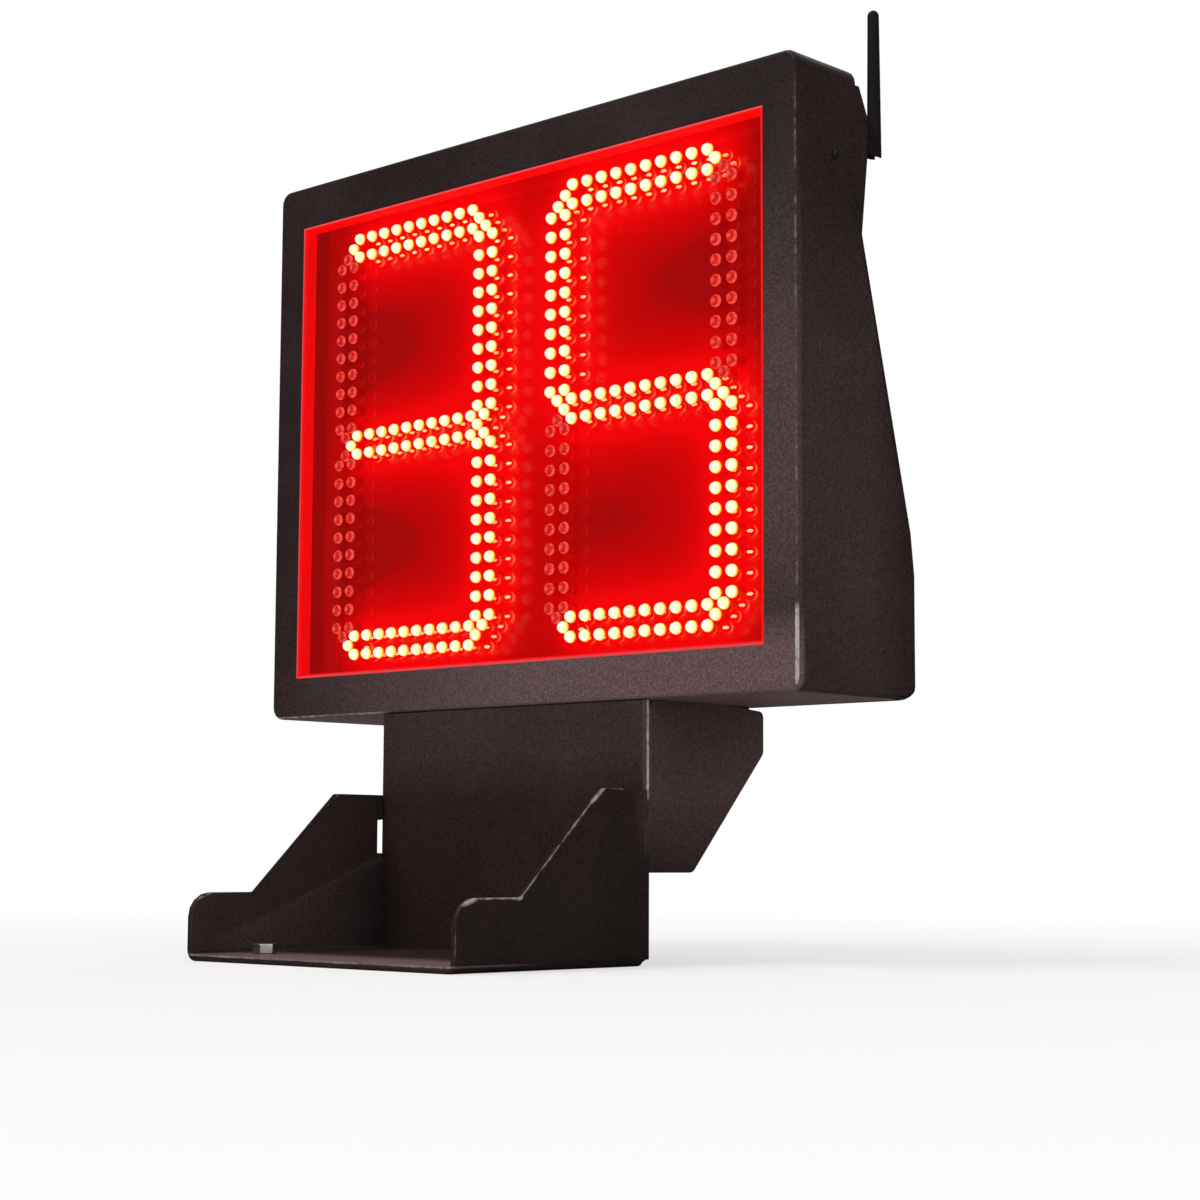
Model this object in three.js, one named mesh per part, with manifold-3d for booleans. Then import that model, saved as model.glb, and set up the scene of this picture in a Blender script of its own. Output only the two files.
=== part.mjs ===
import * as THREE from 'three';
import { mergeVertices } from 'three/addons/utils/BufferGeometryUtils.js';
import Module from 'manifold-3d';

// Shot clock: a two-digit LED display head on a bent steel bracket that is bolted down at its foot.
// Millimetres, +X to the viewer's right, +Y to the back, +Z up, so the digits face -Y.
// The origin is the middle of the face that the bracket stands on.

const wasm = await Module();
wasm.setup();

// Digits: two rows of lamps to a segment, on one square grid
const ledPitch = 12.7;
const ledDiameter = 8;
const ledLength = 12;
const segmentLamps = 10;
const boardInnerMargin = 27;
const boardOuterMargin = 39.5;
const boardEndMargin = 21.95;
const boardSpacing = 0.7;
const boardDepth = 19.5;
const boardThickness = 1.6;

// Display head: the window's margins about the digits, the face's borders about the window, the box
const windowSideMargin = 32.05;
const windowEndMargin = 14.95;
const sideBorder = 25.5;
const topBorder = 30;
const footBorder = 28;
const headDepth = 113.4;
const faceCorner = 9;
const frontBend = 2.5;
const housingSteel = 2;
const coverSteel = 2;
const topDepth = 57.5;
const topRearCorner = 3.5;
const bottomRearCorner = 6;

// Chassis inside the head
const chassisSheet = 1.5;
const standoffLength = 10;

// Bracket
const bracketWidth = 243;
const bracketSteel = 4;
const basePlateDepth = 157;
const displayHeight = 349;
const footBend = 7;
const postBend = 5;

// Antenna
const antennaInset = 10.3;
const antennaDrop = 41;
const whipReach = 20.4;
const whipLength = 88.4;

// Working clearances: between pieces that touch, round screws and pins, and the overrun of a cut
const seat = 0.3;
const overrun = 2;

// Facets of round shapes
const cornerSteps = 4;
const boltSides = 6;
const pinSides = 8;
const roundSides = 16;
const ledSides = 6;

const quarterTurn = Math.PI / 2;
const halfTurn = Math.PI;
const fullTurn = Math.PI * 2;

// Sizes that follow from the lamps' grid. Heights are counted from the middle of the display.
const segmentStep = segmentLamps + 1;
const digitColumns = segmentStep + 1;
const digitRows = 2 * segmentStep + 1;
const digitWidth = digitColumns * ledPitch;
const digitHeight = digitRows * ledPitch;
const digitSpacing = digitWidth + 2 * boardInnerMargin + boardSpacing;
const windowWidth = digitSpacing + digitWidth + 2 * windowSideMargin;
const windowHeight = digitHeight + 2 * windowEndMargin;
const halfFace = windowWidth / 2 + sideBorder;
const faceTop = windowHeight / 2 + topBorder;
const faceFoot = -windowHeight / 2 - footBorder;
const faceHeight = faceTop - faceFoot;
const antennaHeight = faceTop - antennaDrop;

// Shape helpers

// A closed solid from a three.js geometry, with its shared vertices merged.
function solid(geometry) {
  geometry.deleteAttribute('normal');
  geometry.deleteAttribute('uv');
  const merged = mergeVertices(geometry);
  const corners = merged.index.array;
  const kept = [];
  for (let i = 0; i < corners.length; i += 3) {
    const [a, b, c] = [corners[i], corners[i + 1], corners[i + 2]];
    if (a !== b && b !== c && c !== a) kept.push(a, b, c);
  }
  const mesh = new wasm.Mesh({
    numProp: 3,
    vertProperties: merged.attributes.position.array,
    triVerts: new Uint32Array(kept),
  });
  return new wasm.Manifold(mesh);
}

// An outline of [a, b] points pushed through space; the axes say where a, b and the push point.
function pushed(outline, length, axes, start) {
  const shape = new THREE.Shape(outline.map(([a, b]) => new THREE.Vector2(a, b)));
  const geometry = new THREE.ExtrudeGeometry(shape, { depth: length, bevelEnabled: false });
  geometry.translate(0, 0, start);
  geometry.applyMatrix4(new THREE.Matrix4().makeBasis(...axes));
  return solid(geometry);
}

const right = new THREE.Vector3(1, 0, 0);
const back = new THREE.Vector3(0, 1, 0);
const up = new THREE.Vector3(0, 0, 1);
const front = new THREE.Vector3(0, -1, 0);

// Prisms: outlines of [y, z], [x, z] and [x, y] points, between two places on the third axis.
const prismX = (outline, from, to) => pushed(outline, to - from, [back, up, right], from);
const prismY = (outline, from, to) => pushed(outline, to - from, [right, up, front], -to);
const prismZ = (outline, from, to) => pushed(outline, to - from, [right, back, up], from);

const rectangle = (a0, a1, b0, b1) => [[a0, b0], [a1, b0], [a1, b1], [a0, b1]];

// Points along an arc about [a, b], from one angle to another.
function arc(a, b, radius, from, to, steps) {
  const points = [];
  for (let step = 0; step <= steps; step += 1) {
    const angle = from + ((to - from) * step) / steps;
    points.push([a + radius * Math.cos(angle), b + radius * Math.sin(angle)]);
  }
  return points;
}

const circle = (a, b, radius, sides) => arc(a, b, radius, 0, fullTurn, sides).slice(0, -1);

// A slot with round ends, along the first axis.
function slot(a, b, length, width) {
  const radius = width / 2;
  const middle = length / 2 - radius;
  return [
    ...arc(a + middle, b, radius, -quarterTurn, quarterTurn, cornerSteps),
    ...arc(a - middle, b, radius, quarterTurn, halfTurn + quarterTurn, cornerSteps),
  ];
}

// The radius of a hexagon's corners from its width across the flats.
const hexRadius = (acrossFlats) => acrossFlats / Math.sqrt(3);

// An outline whose [a, b, radius] corners are rounded; a corner without a radius stays sharp.
function rounded(corners, closed = true) {
  const points = [];
  corners.forEach(([a, b, radius], i) => {
    const inside = closed || (i > 0 && i < corners.length - 1);
    if (!radius || !inside) {
      points.push([a, b]);
      return;
    }
    const corner = new THREE.Vector2(a, b);
    const last = corners[(i + corners.length - 1) % corners.length];
    const next = corners[(i + 1) % corners.length];
    const toLast = new THREE.Vector2(last[0], last[1]).sub(corner).normalize();
    const toNext = new THREE.Vector2(next[0], next[1]).sub(corner).normalize();
    const half = Math.acos(THREE.MathUtils.clamp(toLast.dot(toNext), -1, 1)) / 2;
    const middle = toLast.clone().add(toNext).normalize();
    const centre = corner.clone().addScaledVector(middle, radius / Math.sin(half));
    const start = corner.clone().addScaledVector(toLast, radius / Math.tan(half)).sub(centre);
    const end = corner.clone().addScaledVector(toNext, radius / Math.tan(half)).sub(centre);
    const sweep = Math.atan2(start.cross(end), start.dot(end));
    for (let step = 0; step <= cornerSteps; step += 1) {
      const arm = start.clone().rotateAround(new THREE.Vector2(), (sweep * step) / cornerSteps);
      points.push([centre.x + arm.x, centre.y + arm.y]);
    }
  });
  return points;
}

// An open line moved sideways to its left by a distance, mitred at each point.
function beside(points, distance) {
  return points.map(([a, b], i) => {
    const here = new THREE.Vector2(a, b);
    const last = points[Math.max(i - 1, 0)];
    const next = points[Math.min(i + 1, points.length - 1)];
    const arriving = here.clone().sub(new THREE.Vector2(...last));
    const leaving = new THREE.Vector2(...next).sub(here);
    if (i === 0) arriving.copy(leaving);
    if (i === points.length - 1) leaving.copy(arriving);
    arriving.normalize();
    leaving.normalize();
    const normal = new THREE.Vector2(-arriving.y - leaving.y, arriving.x + leaving.x).normalize();
    const mitre = normal.x * -leaving.y + normal.y * leaving.x;
    return [a + (normal.x * distance) / mitre, b + (normal.y * distance) / mitre];
  });
}

// Sheet metal: a bent line with a thickness on its left, as a closed outline.
const strip = (points, near, far) => [...beside(points, near), ...beside(points, far).reverse()];

// A turned piece: [radius, height] points, starting and ending on the axis. Its height runs along
// +Y, and is turned from there about X: a quarter turn stands it up along +Z.
function turned(profile, sides, turn) {
  const points = profile.map(([radius, height]) => new THREE.Vector2(radius, height));
  const geometry = new THREE.LatheGeometry(points, sides);
  geometry.rotateX(turn);
  return solid(geometry);
}

const joined = (bodies) => bodies.reduce((whole, body) => whole.add(body));
const cut = (body, tools) => body.subtract(joined(tools));

function add(parent, name, body, material) {
  const { vertProperties, triVerts } = body.getMesh();
  const geometry = new THREE.BufferGeometry();
  geometry.setAttribute('position', new THREE.BufferAttribute(new Float32Array(vertProperties), 3));
  geometry.setIndex(new THREE.BufferAttribute(new Uint32Array(triVerts), 1));
  geometry.computeVertexNormals();
  const mesh = new THREE.Mesh(geometry, material);
  mesh.name = name;
  parent.add(mesh);
  return mesh;
}

function finish(color, roughness, metalness) {
  return new THREE.MeshStandardMaterial({ color, roughness, metalness });
}

const powderCoat = () => finish('#262122', 0.6, 0.1);
const zincPlate = () => finish('#b9bcc0', 0.35, 0.9);
const blackPlastic = () => finish('#17171a', 0.5, 0);
const blackRubber = () => finish('#141414', 0.85, 0);
const brass = () => finish('#b58f4a', 0.35, 0.9);
const circuitBoard = () => finish('#10241a', 0.4, 0);

const clock = new THREE.Group();

// Bracket
// One sheet is bent into a base plate with a flange up each side, a post behind them, a wing back
// from each side of the post, and a top flange that the head is bolted on.

const postFace = basePlateDepth / 2;
const headUnderside = displayHeight + faceFoot;
const flangeFrontHeight = 42;
const flangeRearHeight = 105.5;
const flangeFrontCorner = 15;
const flangeLowLength = 50;
const flangeHighLength = 40.5;
const flangeBlend = 3;
const flangeChamfer = 5;
const notchDepth = 4.5;
const notchHeight = 22;
const notchRise = 67;
const wingDepth = 109;
const wingHeight = 104;
const wingTopFall = 2.5;
const wingTopRun = 33;
const wingRearEdge = 29;
const wingFoot = 41;
const wingCorner = 4;
const wingBlend = 6;
const topFlangeInset = 9.4;
const postWeldOverlap = 1.5;
const baseBoltInset = 26.5;
const baseBoltSetback = 40;
const baseBoltHole = 10.5;
const clampBoltInset = 41.5;
const clampBoltFront = 46;
const clampBoltRearInset = 21.4;
const clampBoltHole = 8.6;

const halfBracket = bracketWidth / 2;
const flangeInside = halfBracket - bracketSteel;
const postTop = headUnderside - seat;
const plateFront = -basePlateDepth / 2;

// A channel section open at one side: [across, along] points, with rounded bends outside and in.
function channel(halfWidth, depth, outerBend) {
  const inner = halfWidth - bracketSteel;
  const inside = outerBend - bracketSteel;
  return rounded([
    [-halfWidth, depth],
    [-halfWidth, 0, outerBend],
    [halfWidth, 0, outerBend],
    [halfWidth, depth],
    [inner, depth],
    [inner, bracketSteel, inside],
    [-inner, bracketSteel, inside],
    [-inner, depth],
  ]);
}

function baseTray() {
  const flangeOutline = rounded([
    [plateFront, 0],
    [plateFront, flangeFrontHeight, flangeFrontCorner],
    [plateFront + flangeLowLength, flangeFrontHeight, flangeBlend],
    [postFace - flangeHighLength, flangeRearHeight, flangeBlend],
    [postFace, flangeRearHeight],
    [postFace, notchRise + notchHeight],
    [postFace - notchDepth, notchRise + notchHeight],
    [postFace - notchDepth, notchRise],
    [postFace, notchRise],
    [postFace, flangeChamfer],
    [postFace - flangeChamfer, 0],
  ]);
  const section = channel(halfBracket, flangeRearHeight + overrun, footBend);
  const bent = prismY(section, plateFront, postFace);
  return bent.intersect(prismX(flangeOutline, -halfBracket - overrun, halfBracket + overrun));
}

function postAndWings() {
  const wingOutline = rounded([
    [postFace, postTop - wingHeight],
    [postFace + wingFoot, postTop - wingHeight, wingBlend],
    [postFace + wingDepth, postTop - wingRearEdge, wingBlend],
    [postFace + wingDepth, postTop - wingTopFall, wingCorner],
    [postFace + wingDepth - wingTopRun, postTop],
    [postFace, postTop],
  ]);
  const section = channel(halfBracket, wingDepth + overrun, postBend).map(([x, y]) => [x, postFace + y]);
  const bent = prismZ(section, postTop - wingHeight - overrun, postTop + overrun);
  return bent.intersect(prismX(wingOutline, -halfBracket - overrun, halfBracket + overrun));
}

// The post's own line: base plate, bend, post, bend and top flange, seen from the side.
function postSheet() {
  const line = rounded([
    [postFace - footBend, 0],
    [postFace + bracketSteel, 0, postBend],
    [postFace + bracketSteel, postTop - bracketSteel, postBend - bracketSteel],
    [postFace + headDepth - topFlangeInset, postTop - bracketSteel],
  ], false);
  const sheet = strip(line, 0, bracketSteel);
  const flat = halfBracket - footBend;
  const half = flangeInside + postWeldOverlap;
  const lowerPost = prismX(sheet, -half, half).intersect(prismZ(
    rectangle(-half, half, postFace, postFace + bracketSteel + overrun),
    bracketSteel,
    postTop - wingHeight + overrun,
  ));
  return prismX(sheet, -flat, flat).add(lowerPost);
}

const baseBoltPlaces = [-1, 1].map((side) => (
  [side * (halfBracket - baseBoltInset), plateFront + baseBoltSetback]
));
const clampBoltSide = halfBracket - clampBoltInset;
const clampBoltPlaces = [];
for (const depth of [clampBoltFront, headDepth - clampBoltRearInset]) {
  for (const side of [-1, 1]) clampBoltPlaces.push([side * clampBoltSide, postFace + depth]);
}

function mountingBracket() {
  const sheet = joined([baseTray(), postAndWings(), postSheet()]);
  const holes = baseBoltPlaces.map(([x, y]) => (
    prismZ(circle(x, y, baseBoltHole / 2, pinSides), -overrun, bracketSteel + overrun)
  ));
  for (const [x, y] of clampBoltPlaces) {
    const outline = circle(x, y, clampBoltHole / 2, pinSides);
    holes.push(prismZ(outline, postTop - bracketSteel - overrun, postTop + overrun));
  }
  return cut(sheet, holes);
}

add(clock, 'mounting_bracket', mountingBracket(), powderCoat());

// Hexagon bolts
// The two foot bolts hold the bracket down. Four smaller ones hold the head on the top flange.

function hexBolt(acrossFlats, headHeight, shankDiameter, shankLength) {
  const head = prismZ(circle(0, 0, hexRadius(acrossFlats), boltSides), 0, headHeight);
  const shank = prismZ(circle(0, 0, shankDiameter / 2, pinSides), -shankLength, headHeight / 2);
  return head.add(shank);
}

function hexNut(acrossFlats, height, boreDiameter) {
  const outside = prismZ(circle(0, 0, hexRadius(acrossFlats), boltSides), 0, height);
  return outside.subtract(prismZ(circle(0, 0, boreDiameter / 2, pinSides), -overrun, height + overrun));
}

const baseBoltFlats = 14.3;
const baseBoltHead = 6;
const baseBoltShank = 9.5;
const baseBoltReach = 26;
const clampBoltFlats = 13;
const clampBoltHead = 5.3;
const clampBoltShank = 8;
const clampNutHeight = 6.5;
const clampThreadShown = 3;
const sideNames = ['left', 'right'];

baseBoltPlaces.forEach(([x, y], i) => {
  const reach = seat + bracketSteel + baseBoltReach;
  const bolt = hexBolt(baseBoltFlats, baseBoltHead, baseBoltShank, reach);
  const mesh = add(clock, `base_bolt_${sideNames[i]}`, bolt, zincPlate());
  mesh.position.set(x, y, bracketSteel + seat);
});

const chassisFootTop = headUnderside + housingSteel + seat + chassisSheet;
clampBoltPlaces.forEach(([x, y], i) => {
  const where = `${i < 2 ? 'front' : 'rear'}_${sideNames[i % 2]}`;
  const nutSeat = (i < 2 ? chassisFootTop : headUnderside + housingSteel) + seat;
  const headSeat = postTop - bracketSteel - seat;
  const reach = nutSeat + clampNutHeight + clampThreadShown - headSeat;
  const bolt = hexBolt(clampBoltFlats, clampBoltHead, clampBoltShank, reach);
  const boltMesh = add(clock, `clamp_bolt_${where}`, bolt, zincPlate());
  boltMesh.rotation.x = halfTurn;
  boltMesh.position.set(x, y, headSeat);
  const nut = hexNut(clampBoltFlats, clampNutHeight, clampBoltShank + 2 * seat);
  const nutMesh = add(clock, `clamp_nut_${where}`, nut, zincPlate());
  nutMesh.position.set(x, y, nutSeat);
});

// Head
// Its own frame starts on the face, at the middle of the display, with depth along +Y.

const head = new THREE.Group();
head.position.set(0, postFace, displayHeight);
clock.add(head);

// The back's outer line seen from the side, as shares of the depth behind the top and of the height.
const backLineShares = [
  [0.069, 0.974],
  [0.211, 0.930],
  [0.211, 0.860],
  [0.107, 0.734],
  [0.939, 0.268],
  [1.000, 0.200],
];
const backCorners = backLineShares.map(([deep, high]) => (
  [topDepth + deep * (headDepth - topDepth), faceFoot + high * faceHeight]
));
const coverLip = 5;

function backLine() {
  return rounded([
    [topDepth + seat, backCorners[0][1]],
    ...backCorners,
    [headDepth, faceFoot, bottomRearCorner],
    [headDepth - bottomRearCorner - coverLip, faceFoot],
  ], false);
}

const rearLine = backLine();

// A block with the face's rounded outline and softly bent front edge, deep enough for the head.
function faceBlock(inset, depthFrom, bend) {
  const halfX = halfFace - inset - bend;
  const top = faceTop - inset - bend;
  const foot = faceFoot + inset + bend;
  const corner = Math.max(faceCorner - inset - bend, frontBend / 2);
  const outline = rounded([
    [-halfX, foot, corner],
    [halfX, foot, corner],
    [halfX, top, corner],
    [-halfX, top, corner],
  ]);
  const shape = new THREE.Shape(outline.map(([a, b]) => new THREE.Vector2(a, b)));
  const geometry = new THREE.ExtrudeGeometry(shape, {
    depth: headDepth + overrun,
    bevelEnabled: bend > 0,
    bevelSize: bend,
    bevelThickness: bend,
    bevelSegments: 2,
  });
  geometry.applyMatrix4(new THREE.Matrix4().makeBasis(right, up, front));
  geometry.computeBoundingBox();
  geometry.translate(0, depthFrom - geometry.boundingBox.min.y, 0);
  return solid(geometry);
}

// Front housing
// A steel box with the face, top, bottom and sides in one, open at the back. The sides have a
// flange turned in along their rear edges, which takes the cover's screws.

const coverFlange = 12;
const drainHole = 5;
const drainInset = 27.7;
const drainDepth = 68.3;
const sideScrewDepth = 36.5;
const sideScrewHeight = 133;
const sideScrewShank = 4;
const coverScrewShank = 4;

const jackFlats = 9;
const jackFace = backCorners[1][0];
const antennaSide = halfFace - antennaInset;
const inFrontOfCover = beside(rearLine, -coverSteel - seat);
const flangeFront = beside(rearLine, -coverSteel - seat - housingSteel);

function housingSide() {
  const outline = rounded([
    [0, faceFoot],
    [0, faceTop],
    [topDepth, faceTop, topRearCorner],
    [topDepth, inFrontOfCover[0][1]],
    [topDepth + seat, inFrontOfCover[0][1]],
  ], false);
  const rear = inFrontOfCover.slice(1, -1);
  const lipEdge = rearLine[rearLine.length - 1][0] - seat;
  const lipTop = inFrontOfCover[inFrontOfCover.length - 1][1];
  return [...outline, ...rear, [lipEdge, lipTop], [lipEdge, faceFoot]];
}

// The space inside the walls, in front of the side flanges and between them.
function housingHollow() {
  const topWall = faceTop - housingSteel;
  const floor = faceFoot + housingSteel;
  const topRear = topDepth - housingSteel;
  const lipUnderside = flangeFront[0][1];
  const frontLine = rounded([
    [housingSteel, floor],
    [housingSteel, topWall],
    [topRear, topWall, topRearCorner - housingSteel],
    [topRear, lipUnderside],
  ], false);
  const flangeEdge = flangeFront.slice(1, -2);
  const flangeFoot = flangeEdge[flangeEdge.length - 1][0];
  const wide = [...frontLine, ...flangeEdge, [flangeFoot, floor]];
  const behind = headDepth + overrun;
  const between = [...frontLine, [behind, lipUnderside], [behind, floor]];
  const flangeReach = halfFace - housingSteel - coverFlange;
  return faceBlock(housingSteel, housingSteel, 0).intersect(
    prismX(wide, -halfFace, halfFace).add(prismX(between, -flangeReach, flangeReach)),
  );
}

const screwPlaces = [
  { facet: 0, share: 0.5 },
  { facet: 3, share: 0.2 },
  { facet: 3, share: 0.75 },
  { facet: 5, share: 0.5 },
];
const coverCorners = [...backCorners, [headDepth, faceFoot]];

// A place on a flat stretch of the back, with the angle by which it leans away from upright.
function onBack({ facet, share }) {
  const [y0, z0] = coverCorners[facet];
  const [y1, z1] = coverCorners[facet + 1];
  return {
    y: y0 + (y1 - y0) * share,
    z: z0 + (z1 - z0) * share,
    lean: Math.atan2(y1 - y0, z0 - z1),
  };
}

// A rod along the local depth at a place on the back, for cutting screw holes square to it.
function holeThrough(x, place, diameter) {
  const length = coverSteel + housingSteel + overrun;
  const rod = prismY(circle(0, 0, diameter / 2, pinSides), -length * 2, length);
  const degrees = THREE.MathUtils.radToDeg(place.lean);
  return rod.rotate([degrees, 0, 0]).translate([x, place.y, place.z]);
}

const coverScrewSide = halfFace - housingSteel - coverFlange / 2;
const coverScrewHole = coverScrewShank + 2 * seat;
const coverScrewHoles = () => screwPlaces.flatMap((place) => [-1, 1].map((side) => (
  holeThrough(side * coverScrewSide, onBack(place), coverScrewHole)
)));

function frontHousing() {
  const outside = faceBlock(0, 0, frontBend)
    .intersect(prismX(housingSide(), -halfFace - overrun, halfFace + overrun));
  const shell = outside.subtract(housingHollow());
  const jackNotch = prismY(
    rectangle(
      halfFace - housingSteel - coverFlange - overrun,
      antennaSide + jackFlats,
      antennaHeight - jackFlats,
      antennaHeight + jackFlats,
    ),
    jackFace - coverSteel - seat - housingSteel - overrun,
    jackFace,
  );
  const window = prismY(
    rectangle(-windowWidth / 2, windowWidth / 2, -windowHeight / 2, windowHeight / 2),
    -overrun,
    housingSteel + overrun,
  );
  const floorHole = (x, y, diameter) => prismZ(
    circle(x, y, diameter / 2, pinSides),
    faceFoot - overrun,
    faceFoot + housingSteel + overrun,
  );
  const drains = [-1, 1].map((side) => floorHole(side * (halfFace - drainInset), drainDepth, drainHole));
  const boltHoles = clampBoltPlaces.map(([x, y]) => floorHole(x, y - postFace, clampBoltHole));
  const sideHole = prismX(
    circle(sideScrewDepth, sideScrewHeight, sideScrewShank / 2 + seat, pinSides),
    -halfFace - overrun,
    halfFace + overrun,
  );
  return cut(shell, [window, jackNotch, sideHole, ...drains, ...boltHoles, ...coverScrewHoles()]);
}

add(head, 'front_housing', frontHousing(), powderCoat());

// Rear cover
// A full-width sheet bent along the back line, with lips at its top and bottom edges.

const inletInset = 87.3;
const inletRise = 54;
const inletBodyWidth = 27;
const inletBodyHeight = 19.6;
const inletToSwitch = 55;
const switchWidth = 13;
const switchHeight = 19.4;
const hornOffset = 25;
const hornRise = 54;
const ventLength = 62;
const ventWidth = 4;
const ventPitch = 11;
const ventCount = 6;
const jackThread = 6.35;

const inletSide = inletInset - halfFace;
const switchSide = inletSide + inletToSwitch;
const inletHeight = faceFoot + inletRise;
const hornSide = clampBoltSide + hornOffset;
const hornHeight = faceFoot + hornRise;

function ventSlots() {
  const slots = [];
  for (let i = 0; i < ventCount; i += 1) {
    const z = hornHeight + (i - (ventCount - 1) / 2) * ventPitch;
    const outline = slot(hornSide, z, ventLength, ventWidth);
    slots.push(prismY(outline, headDepth - coverSteel - overrun, headDepth + overrun));
  }
  return slots;
}

function rearCover() {
  const bent = prismX(strip(rearLine, 0, -coverSteel), -halfFace - overrun, halfFace + overrun)
    .intersect(faceBlock(0, 0, 0));
  const backCut = (outline) => prismY(outline, headDepth - coverSteel - overrun, headDepth + overrun);
  const opening = (side, height, width, tall) => backCut(rectangle(
    side - width / 2 - seat,
    side + width / 2 + seat,
    height - tall / 2 - seat,
    height + tall / 2 + seat,
  ));
  const jackHole = prismY(
    circle(antennaSide, antennaHeight, jackThread / 2 + seat, pinSides),
    jackFace - coverSteel - overrun,
    jackFace + overrun,
  );
  return cut(bent, [
    opening(inletSide, inletHeight, inletBodyWidth, inletBodyHeight),
    opening(switchSide, inletHeight, switchWidth, switchHeight),
    jackHole,
    ...ventSlots(),
    ...coverScrewHoles(),
  ]);
}

add(head, 'rear_cover', rearCover(), powderCoat());

// Pan head screws
// Eight hold the cover on the housing's flanges, and one in each side wall holds the chassis.

const panHeadDiameter = 8;
const panHeadHeight = 2.6;
const coverScrewLength = 9;
const sideScrewHead = 5.5;
const sideScrewHeadHeight = 1.6;

function panScrew(headDiameter, headHeight, shankDiameter, length) {
  return turned([
    [0, -length],
    [shankDiameter / 2, -length],
    [shankDiameter / 2, 0],
    [headDiameter / 2, 0],
    [headDiameter / 2, headHeight / 2],
    [headDiameter / 3, headHeight],
    [0, headHeight],
  ], pinSides, quarterTurn);
}

screwPlaces.forEach((place, row) => {
  [-1, 1].forEach((side, i) => {
    const { y, z, lean } = onBack(place);
    const screw = panScrew(panHeadDiameter, panHeadHeight, coverScrewShank, coverScrewLength);
    const mesh = add(head, `cover_screw_${sideNames[i]}_${row + 1}`, screw, zincPlate());
    mesh.rotation.x = lean - quarterTurn;
    mesh.position.set(side * coverScrewSide, y + seat * Math.cos(lean), z + seat * Math.sin(lean));
  });
});

[-1, 1].forEach((side, i) => {
  const screw = panScrew(sideScrewHead, sideScrewHeadHeight, sideScrewShank, coverScrewLength);
  const mesh = add(head, `side_screw_${sideNames[i]}`, screw, zincPlate());
  mesh.rotation.y = side * quarterTurn;
  mesh.position.set(side * (halfFace + seat), sideScrewDepth, sideScrewHeight);
});

// Window
// A frame lines the opening, and its flange presses a soft gasket on the back of the face. The
// tinted pane is bonded in a rebate along the frame's front edge, a little behind the face.

const gasketThickness = 0.7;
const paneThickness = 2;
const paneRecess = 0.6;
const frameDepth = 11;
const frameWall = 2.4;
const rebateWall = 1.2;
const frameSheet = 2;
const frameFlange = 10;

const gasketDepth = housingSteel + seat;
const flangeDepth = gasketDepth + gasketThickness + seat;

const windowOutline = (grow) => rectangle(
  -windowWidth / 2 - grow,
  windowWidth / 2 + grow,
  -windowHeight / 2 - grow,
  windowHeight / 2 + grow,
);
const windowBlock = (grow, from, to) => prismY(windowOutline(grow), from, to);

const gasket = windowBlock(frameFlange, gasketDepth, gasketDepth + gasketThickness)
  .subtract(windowBlock(seat, 0, gasketDepth + overrun));
add(head, 'window_gasket', gasket, blackRubber());

const lining = windowBlock(-seat, seat, seat + frameDepth);
const windowFrame = lining
  .add(windowBlock(frameFlange, flangeDepth, flangeDepth + frameSheet))
  .subtract(windowBlock(-seat - frameWall, 0, seat + frameDepth + overrun))
  .subtract(windowBlock(-seat - rebateWall, 0, paneRecess + paneThickness + seat));
add(head, 'window_frame', windowFrame, finish('#b01418', 0.5, 0));

const pane = windowBlock(-2 * seat - rebateWall, paneRecess, paneRecess + paneThickness);
add(head, 'window_pane', pane, finish('#7a0c10', 0.1, 0));

// Digit boards
// Each digit is seven segments of 22 lamps: two rows of ten and a lamp at each pointed end.

const lampSink = 0.4;
const lampShoulderShare = 0.62;
const firstLampShare = 1.5;
const middleLampShare = 0.5;

// One segment's lamp places, counted in pitches from the digit's top left lamp.
function segmentPlaces(column, row, upright) {
  const places = [];
  const along = (step, across) => (
    upright ? [column + across, row + step] : [column + step, row + across]
  );
  for (let i = 0; i < segmentLamps; i += 1) {
    places.push(along(i + firstLampShare, 0), along(i + firstLampShare, 1));
  }
  places.push(along(1, middleLampShare), along(segmentStep, middleLampShare));
  return places;
}

// Three segments lie across, at the top, middle and bottom, and two stand at each side.
const segments = [0, segmentStep, 2 * segmentStep].map((row) => [0, row, false]);
for (const column of [0, segmentStep]) {
  for (const row of [0, segmentStep]) segments.push([column, row, true]);
}

function ledLamp() {
  const radius = ledDiameter / 2;
  return turned([
    [0, -lampSink],
    [radius, -lampSink],
    [radius, ledLength * lampShoulderShare],
    [0, ledLength],
  ], ledSides, halfTurn);
}

// Each board reaches further towards the outer side of its digit than towards the middle.
const boardHeight = digitHeight + 2 * boardEndMargin;
const boardInner = digitWidth / 2 + boardInnerMargin;
const boardOuter = digitWidth / 2 + boardOuterMargin;
const boardFrom = (side) => (side > 0 ? -boardInner : -boardOuter);
const boardTo = (side) => (side > 0 ? boardOuter : boardInner);

function digitBoard(side) {
  const board = prismY(
    rectangle(boardFrom(side), boardTo(side), -boardHeight / 2, boardHeight / 2),
    0,
    boardThickness,
  );
  const lamp = ledLamp();
  const lamps = segments.flatMap(([column, row, upright]) => (
    segmentPlaces(column, row, upright).map(([x, z]) => lamp.translate([
      (x - digitColumns / 2) * ledPitch,
      0,
      (digitRows / 2 - z) * ledPitch,
    ]))
  ));
  return joined([board, ...lamps]);
}

[-1, 1].forEach((side, i) => {
  const mesh = add(head, `digit_board_${sideNames[i]}`, digitBoard(side), finish('#8f1216', 0.3, 0));
  mesh.position.set((side * digitSpacing) / 2, boardDepth, 0);
});

// Chassis
// A folded sheet behind the boards. Its side flanges take the side screws, and its foot is held
// under the two front clamp nuts.

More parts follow.
